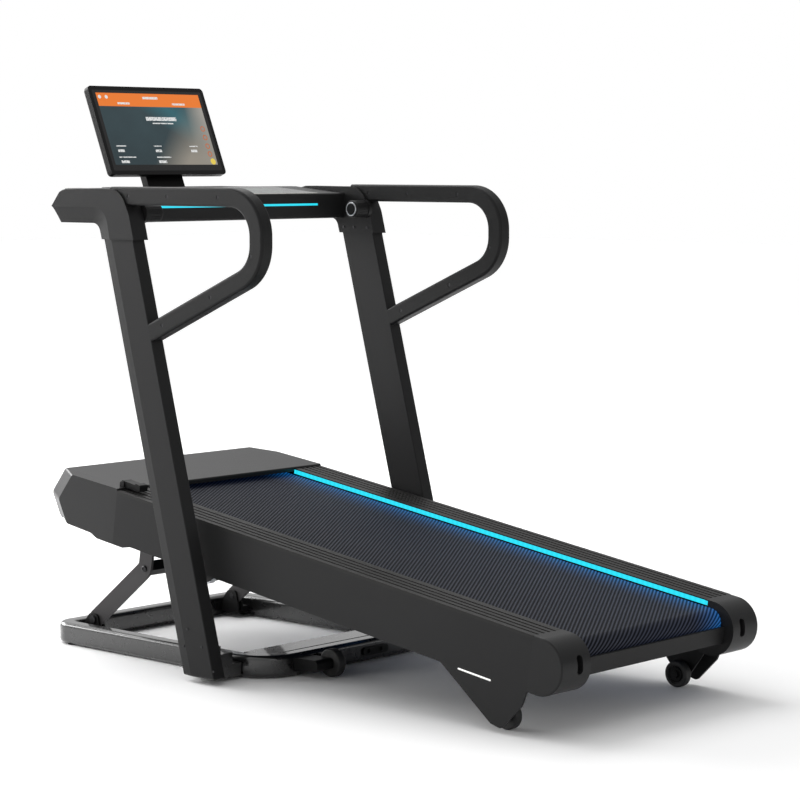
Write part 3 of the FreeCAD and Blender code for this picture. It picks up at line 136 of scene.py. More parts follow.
class Finish:
    """A material built from named nodes."""

    # A Mix node keeps its numbers, vectors and colours in one list of sockets.
    SHARE = 0
    FIRST_COLOUR = 6
    SECOND_COLOUR = 7
    MIXED_COLOUR = 2

    def __init__(self, name):
        self.material = bpy.data.materials.new(name)
        self.material.use_nodes = True
        self.tree = self.material.node_tree
        self.shader = self.tree.nodes["Principled BSDF"]
        self.spot = self.node("ShaderNodeTexCoord")["Object"]

    def node(self, kind, settings=None, values=()):
        made = self.tree.nodes.new(kind)
        for key, value in (settings or {}).items():
            setattr(made, key, value)
        pairs = values.items() if isinstance(values, dict) else enumerate(values)
        for key, value in pairs:
            self.feed(made.inputs[key], value)
        return {out.name: Amount(self, out) for out in made.outputs if out.enabled}

    def feed(self, socket, value):
        if isinstance(value, Amount):
            self.tree.links.new(value.socket, socket)
        elif value is not None:
            socket.default_value = (*value, 1.0) if socket.type == "RGBA" and len(value) == 3 else value

    def set(self, **sockets):
        for name, value in sockets.items():
            self.feed(self.shader.inputs[name.replace("_", " ")], value)
        return self

    def noise(self, scale, detail=3.0, where=None, roughness=0.5):
        values = {"Vector": where or self.spot, "Scale": scale, "Detail": detail, "Roughness": roughness}
        return self.node("ShaderNodeTexNoise", {}, values)["Fac"]

    def blend(self, amount, first, second, kind="MIX"):
        """A colour between two others, or with kind ADD the first plus a share of the second."""
        made = self.tree.nodes.new("ShaderNodeMix")
        made.data_type = "RGBA"
        made.blend_type = kind
        self.feed(made.inputs[self.SHARE], amount)
        self.feed(made.inputs[self.FIRST_COLOUR], first)
        self.feed(made.inputs[self.SECOND_COLOUR], second)
        return Amount(self, made.outputs[self.MIXED_COLOUR])

    def axes(self, where=None):
        parts = self.node("ShaderNodeSeparateXYZ", {}, {"Vector": where or self.spot})
        return parts["X"], parts["Y"], parts["Z"]

    def bump(self, height, distance, strength=1.0):
        values = {"Height": height, "Distance": distance, "Strength": strength}
        normal = self.node("ShaderNodeBump", {}, values)["Normal"]
        return self.set(Normal=normal)

    def turned(self, place, tilt):
        """Coordinates measured from a place, in directions tilted about X."""
        values = {"Vector": self.spot, "Location": place, "Rotation": (tilt, 0, 0)}
        return self.node("ShaderNodeMapping", {"vector_type": "TEXTURE"}, values)["Vector"]


finishes = {}
print("shader sums ready")

# %% [markdown]
# Most of the machine is sheet steel under a matt powder coat, or plastic moulded to match it. Both
# look flat from afar, and up close both break the light: the coat with a soft orange peel about a
# millimetre across, the plastic with a fine spark-eroded grain. One recipe serves both, with the
# grain's size and depth as its measures, and a slow change of gloss that stands for handling.


# %% Coated steel and moulded plastic
def matt(name, colour, roughness, grain, depth, handled=0.06, gloss=0.17):
    finish = Finish(name)
    slow = finish.noise(3.0, 4.0)
    fine = finish.noise(1.0 / grain, 2.0)
    lighter = tuple(min(1.0, part * 1.22 + 0.002) for part in colour)
    finish.set(Base_Color=finish.blend(slow, colour, lighter))
    finish.set(Roughness=roughness - handled + slow * (2 * handled) + fine * 0.06)
    finish.set(Specular_IOR_Level=gloss)
    finish.bump(fine, depth)
    finishes[name] = finish
    return finish


matt("post coat", (0.0085, 0.0085, 0.0088), 0.46, 0.0011, 0.00006)
matt("skirt coat", (0.0105, 0.0105, 0.0108), 0.44, 0.0011, 0.00006)
matt("cover plastic", (0.0090, 0.0090, 0.0093), 0.42, 0.0007, 0.00009)
matt("grip plastic", (0.0065, 0.0065, 0.0067), 0.46, 0.0008, 0.00012)
matt("cap plastic", (0.0085, 0.0086, 0.0089), 0.36, 0.0007, 0.00008, 0.06, 0.2)
matt("hood plastic", (0.0085, 0.0085, 0.0088), 0.30, 0.0009, 0.00006, 0.04, 0.24)
matt("black plastic", (0.0030, 0.0030, 0.0033), 0.42, 0.0008, 0.0001)
matt("neck coat", (0.0015, 0.0015, 0.0015), 0.5, 0.001, 0.00005, 0.04, 0.15)
matt("frame coat", (0.0050, 0.0050, 0.0052), 0.42, 0.0012, 0.00008)
matt("arm coat", (0.0420, 0.0400, 0.0410), 0.40, 0.0012, 0.00006)
matt("screen shell", (0.0050, 0.0050, 0.0052), 0.30, 0.0006, 0.00004)
matt("motor coat", (0.0200, 0.0220, 0.0260), 0.5, 0.0012, 0.0001)
print("matt finishes:", len(finishes))

# %% [markdown]
# The base is a bent tube with a wet-looking stoved enamel. A clear coat over a black base gives the
# sharp highlight along its upper edge, and a very slow ripple stops it from being a perfect mirror.

# %% Gloss enamel on the base
enamel = Finish("gloss enamel")
ripple = enamel.noise(9.0, 2.0)
enamel.set(Base_Color=enamel.blend(ripple, (0.0035, 0.0035, 0.0037), (0.006, 0.006, 0.0062)))
enamel.set(Roughness=0.24 + enamel.noise(40.0, 3.0) * 0.08, Coat_Weight=1.0, Coat_Roughness=0.05)
enamel.set(Specular_IOR_Level=0.5)
enamel.bump(ripple, 0.0012, 0.5)
finishes["gloss enamel"] = enamel
print("enamel ready")

# %% [markdown]
# Zinc-plated pins, screws and rollers are turned parts. Their tooling marks run round the axis,
# which here is always close to X, so stretching noise across X gives fine rings at no cost.

# %% Turned zinc and steel
def turned_steel(name, colour, roughness):
    finish = Finish(name)
    values = {"Vector": finish.spot, "Scale": (900, 12, 12)}
    rings = finish.noise(1.0, 3.0, finish.node("ShaderNodeMapping", {}, values)["Vector"])
    finish.set(Base_Color=finish.blend(rings, colour, tuple(part * 0.8 for part in colour)))
    finish.set(Metallic=1.0, Roughness=roughness + rings * 0.16)
    finish.bump(rings, 0.00003)
    finishes[name] = finish
    return finish


turned_steel("zinc", (0.42, 0.43, 0.45), 0.26)
turned_steel("dark zinc", (0.05, 0.05, 0.052), 0.34)
turned_steel("roller steel", (0.30, 0.30, 0.31), 0.22)
print("metal finishes ready")

# %% [markdown]
# Rubber is the dullest thing on the machine. Wheels pick up a little pale dust where they touch the
# floor, so noise lifts both the colour and the roughness together.

# %% Rubber
def rubber(name, colour, dust):
    finish = Finish(name)
    cloud = finish.noise(60.0, 5.0)
    grit = finish.noise(1400.0, 2.0)
    dusty = (cloud - 0.45).held() * dust
    finish.set(Base_Color=finish.blend(dusty, colour, (0.09, 0.087, 0.08)))
    finish.set(Roughness=0.55 + dusty * 0.3 + grit * 0.08, Specular_IOR_Level=0.45)
    finish.bump(grit, 0.00015)
    finishes[name] = finish
    return finish


rubber("wheel rubber", (0.012, 0.012, 0.0125), 0.9)
rubber("pad rubber", (0.015, 0.015, 0.015), 0.4)
rubber("drive rubber", (0.010, 0.010, 0.011), 0.2)
print("rubber ready")

# %% [markdown]
# The foot rails are extruded with broad grooves, which the solids already have. Between them the
# extrusion die leaves hair-fine lines along the rail. They run up the slope, so the pattern only has
# to change across X: a wave of about a line per millimetre, broken a little by noise.

# %% Extruded foot rail
rail = Finish("rail plastic")
across = rail.axes()[0]
lines = (across * 900.0 + rail.noise(30.0) * 0.4).wave()
worn = rail.noise(5.0, 5.0)
rail.set(Base_Color=rail.blend(worn, (0.0100, 0.0098, 0.0095), (0.0150, 0.0145, 0.0140)))
rail.set(Roughness=0.42 + worn * 0.14, Specular_IOR_Level=0.20)
rail.bump(lines * 0.6 + rail.noise(900.0) * 0.4, 0.00008)
finishes["rail plastic"] = rail
print("rail ready")

# %% [markdown]
# A deck board is dense plywood with a slick phenolic face. The grain is stretched noise along the
# slope, dark enough that it only shows when the belt is looked under.

# %% Deck board
board = Finish("sealed board")
grain_way = board.node("ShaderNodeMapping", {}, {"Vector": board.spot, "Scale": (60, 4, 40)})["Vector"]
grain = board.noise(1.0, 6.0, grain_way)
board.set(Base_Color=board.blend(grain, (0.10, 0.058, 0.03), (0.20, 0.13, 0.07)))
board.set(Roughness=0.35 + grain * 0.2, Coat_Weight=0.2)
board.bump(grain, 0.0002)
finishes["sealed board"] = board
print("board ready")

# %% [markdown]
# Light strips sit in both inner edges of the foot rails and in the console's rear edge. A diffuser over
# small lamps is never quite even: it is brightest over each lamp. Emission carries it. On the deck the
# strip on the right glows strongly and the left one is dimmed.

# %% Light strips
def light_strip(name, pitch, brightness, left_share):
    strip = Finish(name)
    x, y, _ = strip.axes()
    lamp = (y / pitch).wave() * 0.12 + 0.88
    side = (x > 0.0) * (1.0 - left_share) + left_share
    pale = (0.022, 0.80, 1.0)
    glow = strip.blend(lamp * side, (0.0, 0.0, 0.0), pale)
    strip.set(Base_Color=strip.blend(lamp, (0.0, 0.02, 0.03), (0.0, 0.05, 0.06)), Roughness=0.35)
    strip.set(Emission_Color=glow, Emission_Strength=brightness)
    finishes[name] = strip
    return strip


LAMP_PITCH = 0.0166
light_strip("deck light", LAMP_PITCH, 1.0, left_share=0.10)
light_strip("console light", LAMP_PITCH, 1.0, left_share=1.0)
print("lights ready")

# %% [markdown]
# ## The running belt
# A treadmill belt is a woven loop with a moulded face of slanting ribs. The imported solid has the
# right shape, but a pattern on it would stretch where it turns over the rollers. So the loop is
# made again: a tube the size of the rear roller, with its front half pulled out to the other
# roller. Then the distance along the loop is written into a UV map, and the ribs follow the turn.

# %% Helpers for modelling
ALONG_X = (0, math.pi / 2, 0)
FACING = 0.1  # how far a face's normal may be from the direction it is picked by


def deselect():
    if bpy.context.object and bpy.context.object.mode != "OBJECT":
        bpy.ops.object.mode_set(mode="OBJECT")
    bpy.ops.object.select_all(action="DESELECT")


def pick(piece, chosen, kind="VERT"):
    """Selects a piece's vertices or faces by their place, and leaves it in edit mode."""
    bpy.context.view_layer.objects.active = piece
    piece.select_set(True)
    bpy.ops.object.mode_set(mode="EDIT")
    bpy.ops.mesh.select_mode(type=kind)
    bpy.ops.mesh.select_all(action="DESELECT")
    mesh = bmesh.from_edit_mesh(piece.data)
    items = mesh.verts if kind == "VERT" else mesh.faces if kind == "FACE" else mesh.edges
    found = 0
    for item in items:
        if chosen(item):
            item.select_set(True)
            found += 1
    mesh.select_flush_mode()
    bmesh.update_edit_mesh(piece.data)
    return found


def leave():
    bpy.ops.object.mode_set(mode="OBJECT")


def disc(name, vertices, radius, depth):
    """A short cylinder whose axis lies along X."""
    deselect()
    bpy.ops.mesh.primitive_cylinder_add(vertices=vertices, radius=radius, depth=depth, rotation=ALONG_X)
    piece = bpy.context.object
    piece.name = name
    bpy.ops.object.transform_apply(rotation=True)
    return piece


def step_face(piece, side, steps):
    """Insets the face that looks to one side along X, and moves it out after each inset."""
    pick(piece, lambda face: abs(face.normal.x - side) < FACING, "FACE")
    for inset, out in steps:
        bpy.ops.mesh.inset(thickness=inset)
        bpy.ops.transform.translate(value=(side * out, 0, 0))
    leave()


def settle(piece, place=(0, 0, 0), tilt=0.0, angle=30.0):
    """Turns and moves a piece's mesh, and leaves its object at the origin."""
    piece.data.transform(piece.matrix_world)
    piece.data.transform(Matrix.Translation(place) @ Matrix.Rotation(tilt, 4, "X"))
    piece.matrix_world = Matrix.Identity(4)
    deselect()
    bpy.context.view_layer.objects.active = piece
    piece.select_set(True)
    bpy.ops.object.shade_smooth_by_angle(angle=math.radians(angle))
    return piece


def dress(piece, finish, body):
    piece.data.materials.clear()
    piece.data.materials.append(finishes[finish].material)
    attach(piece, body)
    print(piece.name, "faces", len(piece.data.polygons), "on", body)
    return piece


deselect()
print("helpers ready")

# %% Model the belt's loop
BELT_THICKNESS = 0.003
low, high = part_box("running_belt")
belt_half = high.x
belt_radius = (high.z - front_roller.z + rear_roller.z - low.z) / 2
bpy.ops.mesh.primitive_cylinder_add(
    vertices=96, radius=belt_radius, depth=2 * belt_half, end_fill_type="NOTHING", rotation=ALONG_X
)
belt = bpy.context.object
belt.name = "belt"
bpy.ops.object.transform_apply(rotation=True)
front = pick(belt, lambda vertex: vertex.co.y > 1e-4)
bpy.ops.transform.translate(value=(0, belt_run, 0))
leave()
print("pulled out", front, "points of the loop")

# %% [markdown]
# Where the tube was pulled apart there is now one long face above and one below. That is all the
# flat runs need. The thickness comes from Solidify, inwards.

# %% Write the distance along the loop
def along_loop(point):
    """Distance round the loop, counted up the slope on the tread's side."""
    if point.y <= 0.0:
        turn = math.atan2(-point.y, point.z)
        return -turn * belt_radius
    if point.y >= belt_run:
        turn = math.atan2(point.y - belt_run, point.z)
        return belt_run + turn * belt_radius
    return point.y


layer = belt.data.uv_layers.new(name="loop")
for face in belt.data.polygons:
    centre = face.center
    for corner in face.loop_indices:
        point = belt.data.vertices[belt.data.loops[corner].vertex_index].co
        run = along_loop(point)
        underneath = centre.z < -0.9 * belt_radius
        if underneath and 0.01 < centre.y < belt_run - 0.01:
            run = -math.pi * belt_radius - point.y
        layer.data[corner].uv = (point.x, run)
sheet = belt.modifiers.new("Solidify", "SOLIDIFY")
sheet.thickness = BELT_THICKNESS
sheet.offset = -1.0
bpy.ops.object.modifier_apply(modifier=sheet.name)
settle(belt, rear_roller, incline)
print("belt loop", len(belt.data.polygons), "faces")

# %% [markdown]
# The ribs lie nine millimetres apart and slant a third of a right angle across the belt. A wave of the
# distance across and the distance along gives them. The crests are painted grey, a painted highlight
# where the ribs catch the light, and they are a little less rough; the valleys keep the black of the
# weave, which a second, finer wave suggests.
# The light strip along the right rail spills deep blue over the nearest hand's breadth of ribs. The strip
# is too thin to carry that spill cleanly in a short render, so the spill is painted light: the belt's own
# finish glows faintly there, more on the crests.

# %% Finish of the belt
RIBS_ACROSS = 60.0  # ribs and threads in a metre
RIBS_ALONG = 93.3
THREADS = 420.0
SPILL_REACH = 0.13
HAZE_REACH = 0.46
DARK = (0.0, 0.0, 0.0)
face = Finish("belt face")
loop = face.node("ShaderNodeUVMap", {"uv_map": "loop"})["UV"]
across, along, _ = face.axes(loop)
wobble = face.noise(14.0, 2.0) * 0.12
ribs = (across * RIBS_ACROSS - along * RIBS_ALONG + wobble).wave()
crest = ((ribs - 0.42) * 3.2).held()
weave = (across * THREADS).wave() * (along * THREADS).wave()
# Painted highlight: the rib crests are painted grey where they catch the light, unevenly by noise.
crest_highlight_variation = face.noise(6.0, 5.0)
pale = face.blend(crest_highlight_variation, (0.026, 0.028, 0.036), (0.040, 0.042, 0.052))
face.set(Base_Color=face.blend(crest, (0.0008, 0.0010, 0.0022), pale))
face.set(Roughness=0.66 - crest * 0.10 + weave * 0.1, Specular_IOR_Level=0.08)
rail_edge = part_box("led_strips")[1].x
# Painted light: the blue spill of the right strip is painted into the belt's glow, fading with distance
# from the rail.
near = ((across - rail_edge + SPILL_REACH) / SPILL_REACH).held() ** 2.2
wide = ((across - rail_edge + HAZE_REACH) / HAZE_REACH).held()
spill = face.blend(near, DARK, (0.004, 0.11, 0.36))
painted_haze = face.blend(wide * 0.5 + 0.2, DARK, (0.0010, 0.0065, 0.0260))
painted_spill_on_ribs = face.blend(crest * 0.75 + 0.25, DARK, face.blend(1.0, spill, painted_haze, "ADD"))
face.set(Emission_Color=painted_spill_on_ribs, Emission_Strength=1.0)
face.bump(ribs + weave * 0.12, 0.0012, 0.8)
finishes["belt face"] = face
dress(belt, "belt face", "deck")
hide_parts("running_belt")

# %% [markdown]
# ## The screen
# The display is a sheet of black glass with the picture behind it. The picture is painted on the
# glass solid: coordinates are moved to the screen's lower left corner and turned upright, and then
# every block of the picture is a test on width and height. All of it is plain shapes: a warm bar,
# a dim landscape, pale dashes where figures would stand, and round buttons.

# %% Screen coordinates
low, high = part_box("screen_glass")
screen_width = high.x - low.x
bezel_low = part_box("screen_bezel")[0]
GLASS_THICKNESS = 0.002
screen_lean = math.atan2(high.y - low.y - GLASS_THICKNESS, high.z - low.z)
screen_tall = (high.z - low.z) / math.cos(screen_lean)
corner = (low.x, low.y, low.z)
print("screen", round(screen_width, 3), "by", round(screen_tall, 3))
print("leaning", round(math.degrees(screen_lean), 1), "degrees")

# %% The picture's blocks
show = Finish("screen face")
wide, _, tall = show.axes(show.turned(corner, -screen_lean))
u = wide / screen_width
v = tall / screen_tall
lit = u.between(0.028, 0.972) * v.between(0.075, 0.965)
bar = v.between(0.80, 0.965)
road = ((u * 1.1 - v * 0.55 - 0.38) * 3.0).held()
hill = ((u * 0.9 + v * 0.8 - 0.95) * 4.0).held() * ((0.82 - u * 0.55 - v * 0.35) * 5.0).held()
cloud = show.noise(9.0, 4.0)
back = show.blend(cloud * 0.7 + v * 0.3, (0.008, 0.020, 0.026), (0.035, 0.075, 0.088))
back = show.blend(hill * 0.8, back, (0.02, 0.16, 0.20))
back = show.blend(road * ((1.0 - v) * 1.2).held(), back, (0.33, 0.30, 0.25))
back = show.blend((u > 0.80) * ((u - 0.80) * 6.0).held() * (v * 1.4).held(), back, (0.42, 0.40, 0.36))
picture = show.blend(bar, back, (1.0, 0.23, 0.018))
print("picture blocked in")


# %% Dashes and buttons
BUTTON_HOLE = 0.0055


def dash(low_u, high_u, low_v, high_v):
    """A pale bar broken into uneven pieces, as small print is from across a room."""
    broken = show.noise(420.0, 0.0) > 0.36
    return u.between(low_u, high_u) * v.between(low_v, high_v) * broken


def button(at_u, at_v, radius):
    from_u = (u - at_u) * screen_width
    from_v = (v - at_v) * screen_tall
    return (from_u * from_u + from_v * from_v) < radius * radius


marks = dash(0.42, 0.70, 0.625, 0.672) + dash(0.47, 0.66, 0.585, 0.600)
for start, length in ((0.08, 0.09), (0.42, 0.07), (0.75, 0.08)):
    marks = marks + dash(start, start + length, 0.300, 0.313)
    marks = marks + dash(start + 0.005, start + 0.062, 0.232, 0.264)
for start, length in ((0.08, 0.15), (0.42, 0.13)):
    marks = marks + dash(start, start + length, 0.162, 0.175)
    marks = marks + dash(start + 0.008, start + 0.08, 0.096, 0.128)
marks = marks + dash(0.44, 0.58, 0.895, 0.925)
for start, end in ((0.20, 0.31), (0.70, 0.82)):
    marks = marks + dash(start, end, 0.825, 0.850)
for at_u in (0.055, 0.115):
    marks = marks + button(at_u, 0.915, BUTTON_HOLE)
picture = show.blend(marks.held(), picture, (0.92, 0.93, 0.93))
for at_v in (0.53, 0.42, 0.31, 0.21):
    ring = button(0.925, at_v, 0.0085) - button(0.925, at_v, BUTTON_HOLE)
    picture = show.blend(ring.held(), picture, (0.62, 0.16, 0.05))
picture = show.blend(button(0.935, 0.115, 0.0095), picture, (0.95, 0.72, 0.10))
show.set(Base_Color=(0.006, 0.006, 0.0065), Roughness=0.12 + show.noise(25.0) * 0.06, Coat_Weight=0.3)
show.set(Emission_Color=show.blend(lit, DARK, picture), Emission_Strength=0.8)
show.set(Specular_IOR_Level=0.3)
finishes["screen face"] = show
print("screen painted")

# %% [markdown]
# The touch panel on the console is another sheet of dark glass, printed from behind: thin green
# curves for an incline plot, a row of round touch keys, and a cream line along its rear edge.

# %% Touch panel
panel = Finish("touch panel")
low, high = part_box("console_panel")
panel_lean = math.atan2(high.z - low.z - 0.0036, high.y - low.y)
x, y, _ = panel.axes(panel.turned((0.0, low.y, high.z - 0.02), panel_lean))
edge_line = y.between(0.0, 0.006)
curve = ((x * 9.0).work("SINE") * 0.018 + 0.095 - y).work("ABSOLUTE") < 0.0022
second = ((x * 14.0 + 1.0).work("SINE") * 0.012 + 0.075 - y).work("ABSOLUTE") < 0.0014
ticks = ((x * 26.0).work("FRACT") < 0.55) * y.between(0.126, 0.1285) * x.between(-0.26, 0.26)
keys_x = (x * 22.0).work("FRACT") - 0.5
keys_y = (y - 0.040) * 22.0
keys_r = (keys_x * keys_x + keys_y * keys_y).work("SQRT")
keys = keys_r.between(0.19, 0.23) * x.between(-0.227, 0.227)
print_mask = ((curve + second) * x.between(-0.25, 0.25) + ticks + keys).held()
panel.set(Base_Color=panel.blend(edge_line, (0.006, 0.0065, 0.007), (0.62, 0.60, 0.53)))
panel.set(Roughness=0.14 + panel.noise(30.0) * 0.08, Coat_Weight=0.4)
panel.set(Specular_IOR_Level=0.4)
glow = panel.blend(print_mask, DARK, (0.22, 0.55, 0.35))
panel.set(Emission_Color=glow, Emission_Strength=0.45)
finishes["touch panel"] = panel
print("panel lean", round(math.degrees(panel_lean), 2))

# %% [markdown]
# ## Finishes on the solids
# Every solid keeps its shape and takes one of the finishes above. The list is in the order in which
# the machine would be built up from the floor.

# %% Hand out the finishes
wears = {
    "gloss enamel": ["base_loop", "base_crossbar", "post_brackets"],
    "frame coat": ["pivot_brackets", "steel_rails", "cross_members", "wheel_brackets", "console_beam",
                   "handrail_tubes", "screen_lugs", "lift_cross_tube"],
    "arm coat": ["lift_arm_left", "lift_arm_right"],
    "pad rubber": ["feet", "board_cushions"],
    "black plastic": ["rear_bar_fittings", "control_box", "hood_lever", "belly_pan"],
    "wheel rubber": ["transport_wheel", "rear_wheel_left", "rear_wheel_right"],
    "post coat": ["post_left", "post_right"],
    "cover plastic": ["elbow_cover_left", "elbow_cover_right", "console_body"],
    "grip plastic": ["handrail_outer_left", "handrail_outer_right", "handrail_inner_left",
                     "handrail_inner_right", "knob_left", "knob_right"],
    "dark zinc": ["screws", "lift_pins"],
    "zinc": ["roller_shafts", "lift_rod", "motor_pulley"],
    "roller steel": ["front_roller", "rear_roller"],
    "touch panel": ["console_panel"],
    "console light": ["console_led"],
    "deck light": ["led_strips"],
    "neck coat": ["screen_neck"],
    "screen shell": ["screen_bezel", "screen_back"],
    "screen face": ["screen_glass"],
    "motor coat": ["lift_motor", "drive_motor"],
    "sealed board": ["deck_board"],
    "belt face": ["running_belt"],
    "rail plastic": ["foot_rail_left", "foot_rail_right"],
    "skirt coat": ["side_skirt_left", "side_skirt_right", "rear_crossbar"],
    "cap plastic": ["end_cap_left", "end_cap_right"],
    "hood plastic": ["motor_hood"],
    "drive rubber": ["drive_belt"],
}
dressed = 0
for name, nodes in wears.items():
    for node in nodes:
        solid = frame["nodes"][node]
        solid.data.materials.clear()
        solid.data.materials.append(finishes[name].material)
        dressed += 1
print("dressed", dressed, "of", len(frame["nodes"]))

# %% [markdown]
# ## Small fittings
# A bright inlay runs along each leg just under the deck; its faint glow is painted light. It is a shallow
# bar with rounded ends, made from a flattened tube so that the ends come out round, and bevelled where it
# meets the air.

# %% Inlay on each leg
inlay_finish = Finish("inlay with painted glow")
inlay_finish.set(Base_Color=(0.78, 0.78, 0.76), Metallic=0.6)
inlay_finish.set(Roughness=0.25 + inlay_finish.noise(80.0) * 0.1)
# Painted highlight: the inlay's faint white glow is painted light standing in for its sheen; it is no
# lamp.
inlay_finish.set(Emission_Color=(1.0, 1.0, 0.97), Emission_Strength=0.25)
finishes["inlay with painted glow"] = inlay_finish
INLAY_RADIUS = 0.0022
INLAY_DEPTH = 0.0016
INLAY_LENGTH = 0.100
INLAY_START = 0.136  # up the slope from the rear roller
INLAY_OFF = -0.0902
deck_side = abs(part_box("side_skirt_left")[0].x)
SIDES = ((-1, "left"), (1, "right"))
for side, name in SIDES:
    inlay = disc("leg_inlay_" + name, 24, INLAY_RADIUS, INLAY_DEPTH)
    pick(inlay, lambda vertex: vertex.co.y > 1e-5)
    bpy.ops.transform.translate(value=(0, INLAY_LENGTH, 0))
    step_face(inlay, side, ((0.0006, 0.0003),))
    settle(inlay, deck_place(side * deck_side, INLAY_START, INLAY_OFF), incline)
    dress(inlay, "inlay with painted glow", "deck")

# %% [markdown]
# Each dial on the elbows ends in a bright ring round a black cap. The ring is a torus, and the cap a
# disc whose face is stepped out and then sunk in the middle.

# %% Dial ends
RING_RADIUS = 0.0175
RING_WIRE = 0.0022
DIAL_CAP_RADIUS = 0.0155
DIAL_CAP_DEPTH = 0.004
knob_low, knob_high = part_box("knob_left")
dial_y = (knob_low.y + knob_high.y) / 2
dial_z = (knob_low.z + knob_high.z) / 2
for side, name in SIDES:
    end = (side * abs(knob_high.x), dial_y, dial_z)
    deselect()
    bpy.ops.mesh.primitive_torus_add(
        major_segments=64, minor_segments=12,
        major_radius=RING_RADIUS, minor_radius=RING_WIRE, rotation=ALONG_X
    )
    ring = bpy.context.object
    ring.name = "dial_ring_" + name
    bpy.ops.object.transform_apply(rotation=True)
    settle(ring, end)
    dress(ring, "zinc", "dial_" + name)
    cap = disc("dial_cap_" + name, 48, DIAL_CAP_RADIUS, DIAL_CAP_DEPTH)
    step_face(cap, -side, ((0.0016, 0.0012), (0.006, -0.0008)))
    settle(cap, end)
    dress(cap, "black plastic", "dial_" + name)

# %% [markdown]
# The lift arms are held at the knee by a button-head bolt on each side. A button head is a low dome:
# a flat cylinder whose outer face is inset twice, each time standing a little further out, and then
# sunk in the middle for the key.

# %% Knee bolts
BOLT_RADIUS = 0.0085
BOLT_DEPTH = 0.005
BOLT_PROUD = 0.0018
TUBE_CORNER = 0.0201  # from the cross tube's rear and top sides to the bolt's middle
arm_side = abs(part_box("lift_arm_left")[0].x)
tube_low, tube_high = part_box("lift_cross_tube")
for side, name in SIDES:
    bolt = disc("knee_bolt_" + name, 32, BOLT_RADIUS, BOLT_DEPTH)
    step_face(bolt, side, ((0.002, 0.0014), (0.002, 0.0005), (0.0012, -0.0025)))
    place = (side * (arm_side + BOLT_PROUD), tube_low.y + TUBE_CORNER, tube_high.z - TUBE_CORNER)
    settle(bolt, place)
    dress(bolt, "dark zinc", "lift_frame")

# %% [markdown]
# Wheels get a moulded hub: a dished disc with a raised rim and a domed cap over the bolt. Each is
# stepped out of a disc by the same insets, to the size of its wheel.

# %% Wheel hubs
HUB_SHARE = 0.30  # hub's radius, of the wheel's height
HUB_DEPTH = 0.003
HUB_SUNK = 0.0006
wheels = (
    ("rear_wheel_left", "wheel_left", 1),
    ("rear_wheel_right", "wheel_right", -1),
    ("transport_wheel", "transport_roller", 1),
)
for wheel, body, side in wheels:
    low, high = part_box(wheel)
    radius = (high.z - low.z) * HUB_SHARE
    face_x = high.x if side > 0 else low.x
    rim = ((0.0012, 0.0006), (0.0012, -0.0012))
    dome = ((radius * 0.38, 0.0), (0.0010, 0.0018), (radius * 0.22, 0.0006))
    hub = disc(wheel + "_hub", 40, radius, HUB_DEPTH)
    step_face(hub, side, rim + dome)
    settle(hub, (face_x - side * HUB_SUNK, (low.y + high.y) / 2, (low.z + high.z) / 2))
    dress(hub, "black plastic", body)

# %% [markdown]
# The back of the screen carries a vent. Its slats are bevelled bars, made one above another and
# then joined into a single grille.

# %% Vent slats on the screen's back
SLAT_COUNT = 7
SLAT_PITCH = 0.0085
SLAT_SIZE = (0.150, 0.0024, 0.0030)
SLAT_EDGE = 0.0008
VENT_HEIGHT = 0.165  # lowest slat, above the screen's lower edge
VENT_DEEP = 0.0222
BEZEL_FOOT = 0.009


def on_screen(x, deep, tall):
    """A point on the upright screen: across, behind its face, and above its lower edge."""
    up = Vector((0, math.sin(screen_lean), math.cos(screen_lean)))
    behind = Vector((0, math.cos(screen_lean), -math.sin(screen_lean)))
    foot = Vector((0, bezel_low.y, bezel_low.z + BEZEL_FOOT * math.sin(screen_lean)))
    return Vector((x, 0, 0)) + foot + up * tall + behind * deep


slats = []
for row in range(SLAT_COUNT):
    deselect()
    bpy.ops.mesh.primitive_cube_add(size=1.0)
    slat = bpy.context.object
    slat.scale = SLAT_SIZE
    bpy.ops.object.transform_apply(scale=True)
    pick(slat, lambda edge: True, "EDGE")
    bpy.ops.mesh.bevel(offset=SLAT_EDGE, segments=2)
    leave()
    settle(slat, on_screen(0.0, VENT_DEEP, VENT_HEIGHT + SLAT_PITCH * row), -screen_lean)
    slats.append(slat)
deselect()
for slat in slats:
    slat.select_set(True)
bpy.context.view_layer.objects.active = slats[0]
bpy.ops.object.join()
grille = bpy.context.object
grille.name = "screen_vent"
dress(grille, "black plastic", "screen")

# %% [markdown]
# ## Floor, light and camera
# A pale floor, a bright even room, and four soft lamps: a large one overhead that lifts the hood
# and the tops of the rails, one in front of the machine, one from the left for the posts' outer
# faces, and a low fill from behind the runner. The camera stands chest high, behind the deck's end
# and to its left. Away from the machine the floor glows faintly, so that it meets the white room.

# %% Floor
FLOOR_SIZE = 60.0
FLOOR_BELOW = 0.0005
GLOW_START = 2.0  # distance from the machine's middle
GLOW_REACH = 2.5
deselect()
bpy.ops.mesh.primitive_plane_add(size=FLOOR_SIZE, location=(0, 0, -FLOOR_BELOW))
floor = bpy.context.object
floor.name = "floor"
floor_finish = Finish("floor")
x, y, _ = floor_finish.axes()
far = (((x * x + y * y).work("SQRT") - GLOW_START) / GLOW_REACH).held()
grain = floor_finish.noise(40.0) * 0.02
floor_finish.set(Base_Color=floor_finish.blend(grain, (0.93, 0.93, 0.93), (0.8, 0.8, 0.8)), Roughness=0.8)
floor_finish.set(Emission_Color=floor_finish.blend(far, DARK, (0.3, 0.3, 0.3)), Emission_Strength=1.0)
floor_finish.set(Specular_IOR_Level=0.1)
floor.data.materials.append(floor_finish.material)
print("floor laid")


# %% Lamps and room
def lamp(name, place, target, size, power):
    data = bpy.data.lights.new(name, "AREA")
    data.shape = "RECTANGLE"
    data.size, data.size_y = size
    data.energy = power
    light = bpy.data.objects.new(name, data)
    bpy.context.scene.collection.objects.link(light)
    light.location = place
    light.rotation_euler = (Vector(target) - Vector(place)).to_track_quat("-Z", "Y").to_euler()
    return light


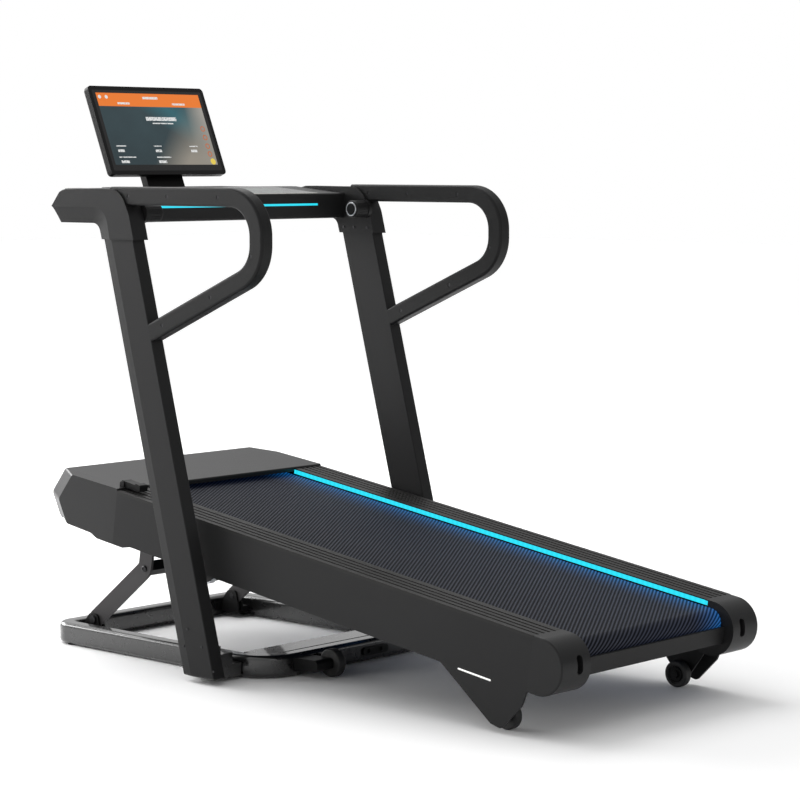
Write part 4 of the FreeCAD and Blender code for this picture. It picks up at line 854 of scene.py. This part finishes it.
lamp("overhead", (0.6, 2.6, 4.0), (0, 0.2, 0.4), (4.0, 3.0), 130)
lamp("front", (-1.2, 6.0, 2.4), (0, 0.3, 0.6), (5.0, 2.2), 280)
lamp("left", (-4.8, 2.2, 1.4), (-0.3, 0.4, 0.5), (3.0, 2.0), 32)
lamp("behind_runner", (-1.5, -5.5, 2.4), (0, 0, 0.6), (3.5, 2.0), 20)
print("lamps placed")

# %% [markdown]
# The room has to look white behind the machine and yet stay dim enough to leave black paint black.
# So it is drawn twice: white where the camera sees it, and for everything else a soft gradient that
# is brightest overhead and to the left, and darkest behind the runner.

# %% Room
room = bpy.data.worlds.new("room")
room.use_nodes = True
tree = room.node_tree
seen = tree.nodes.new("ShaderNodeLightPath")
white = tree.nodes.new("ShaderNodeBackground")
both = tree.nodes.new("ShaderNodeMixShader")
soft = tree.nodes["Background"]
way = tree.nodes.new("ShaderNodeTexCoord")
dot = tree.nodes.new("ShaderNodeVectorMath")
dot.operation = "DOT_PRODUCT"
dot.inputs[1].default_value = (-0.25, 0.30, 0.75)
shade = tree.nodes.new("ShaderNodeMapRange")
for name, value in (("From Min", -0.6), ("From Max", 0.85), ("To Min", 0.18), ("To Max", 0.95)):
    shade.inputs[name].default_value = value
white.inputs["Strength"].default_value = 1.0
white.inputs["Color"].default_value = (1, 1, 1, 1)
tree.links.new(way.outputs["Generated"], dot.inputs[0])
tree.links.new(dot.outputs["Value"], shade.inputs["Value"])
tree.links.new(shade.outputs["Result"], soft.inputs["Strength"])
soft.inputs["Color"].default_value = (1, 1, 1, 1)
tree.links.new(seen.outputs["Is Camera Ray"], both.inputs["Fac"])
tree.links.new(soft.outputs["Background"], both.inputs[1])
tree.links.new(white.outputs["Background"], both.inputs[2])
tree.links.new(both.outputs["Shader"], tree.nodes["World Output"].inputs["Surface"])
bpy.context.scene.world = room
bpy.context.scene.view_settings.view_transform = "Standard"
print("lit")

# %% Camera
HEADING = math.radians(47.3292)  # from +Y towards +X
DROP = math.radians(5.3187)
lens = bpy.data.cameras.new("camera")
lens.lens = 115.46
lens.sensor_width = 36.0
camera = bpy.data.objects.new("camera", lens)
bpy.context.scene.collection.objects.link(camera)
camera.location = (-4.90098, -4.58802, 1.33823)
sight = Vector((math.sin(HEADING), math.cos(HEADING), -math.tan(DROP)))
camera.rotation_euler = sight.to_track_quat("-Z", "Y").to_euler()
bpy.context.scene.camera = camera
print("camera", [round(value, 3) for value in camera.location])
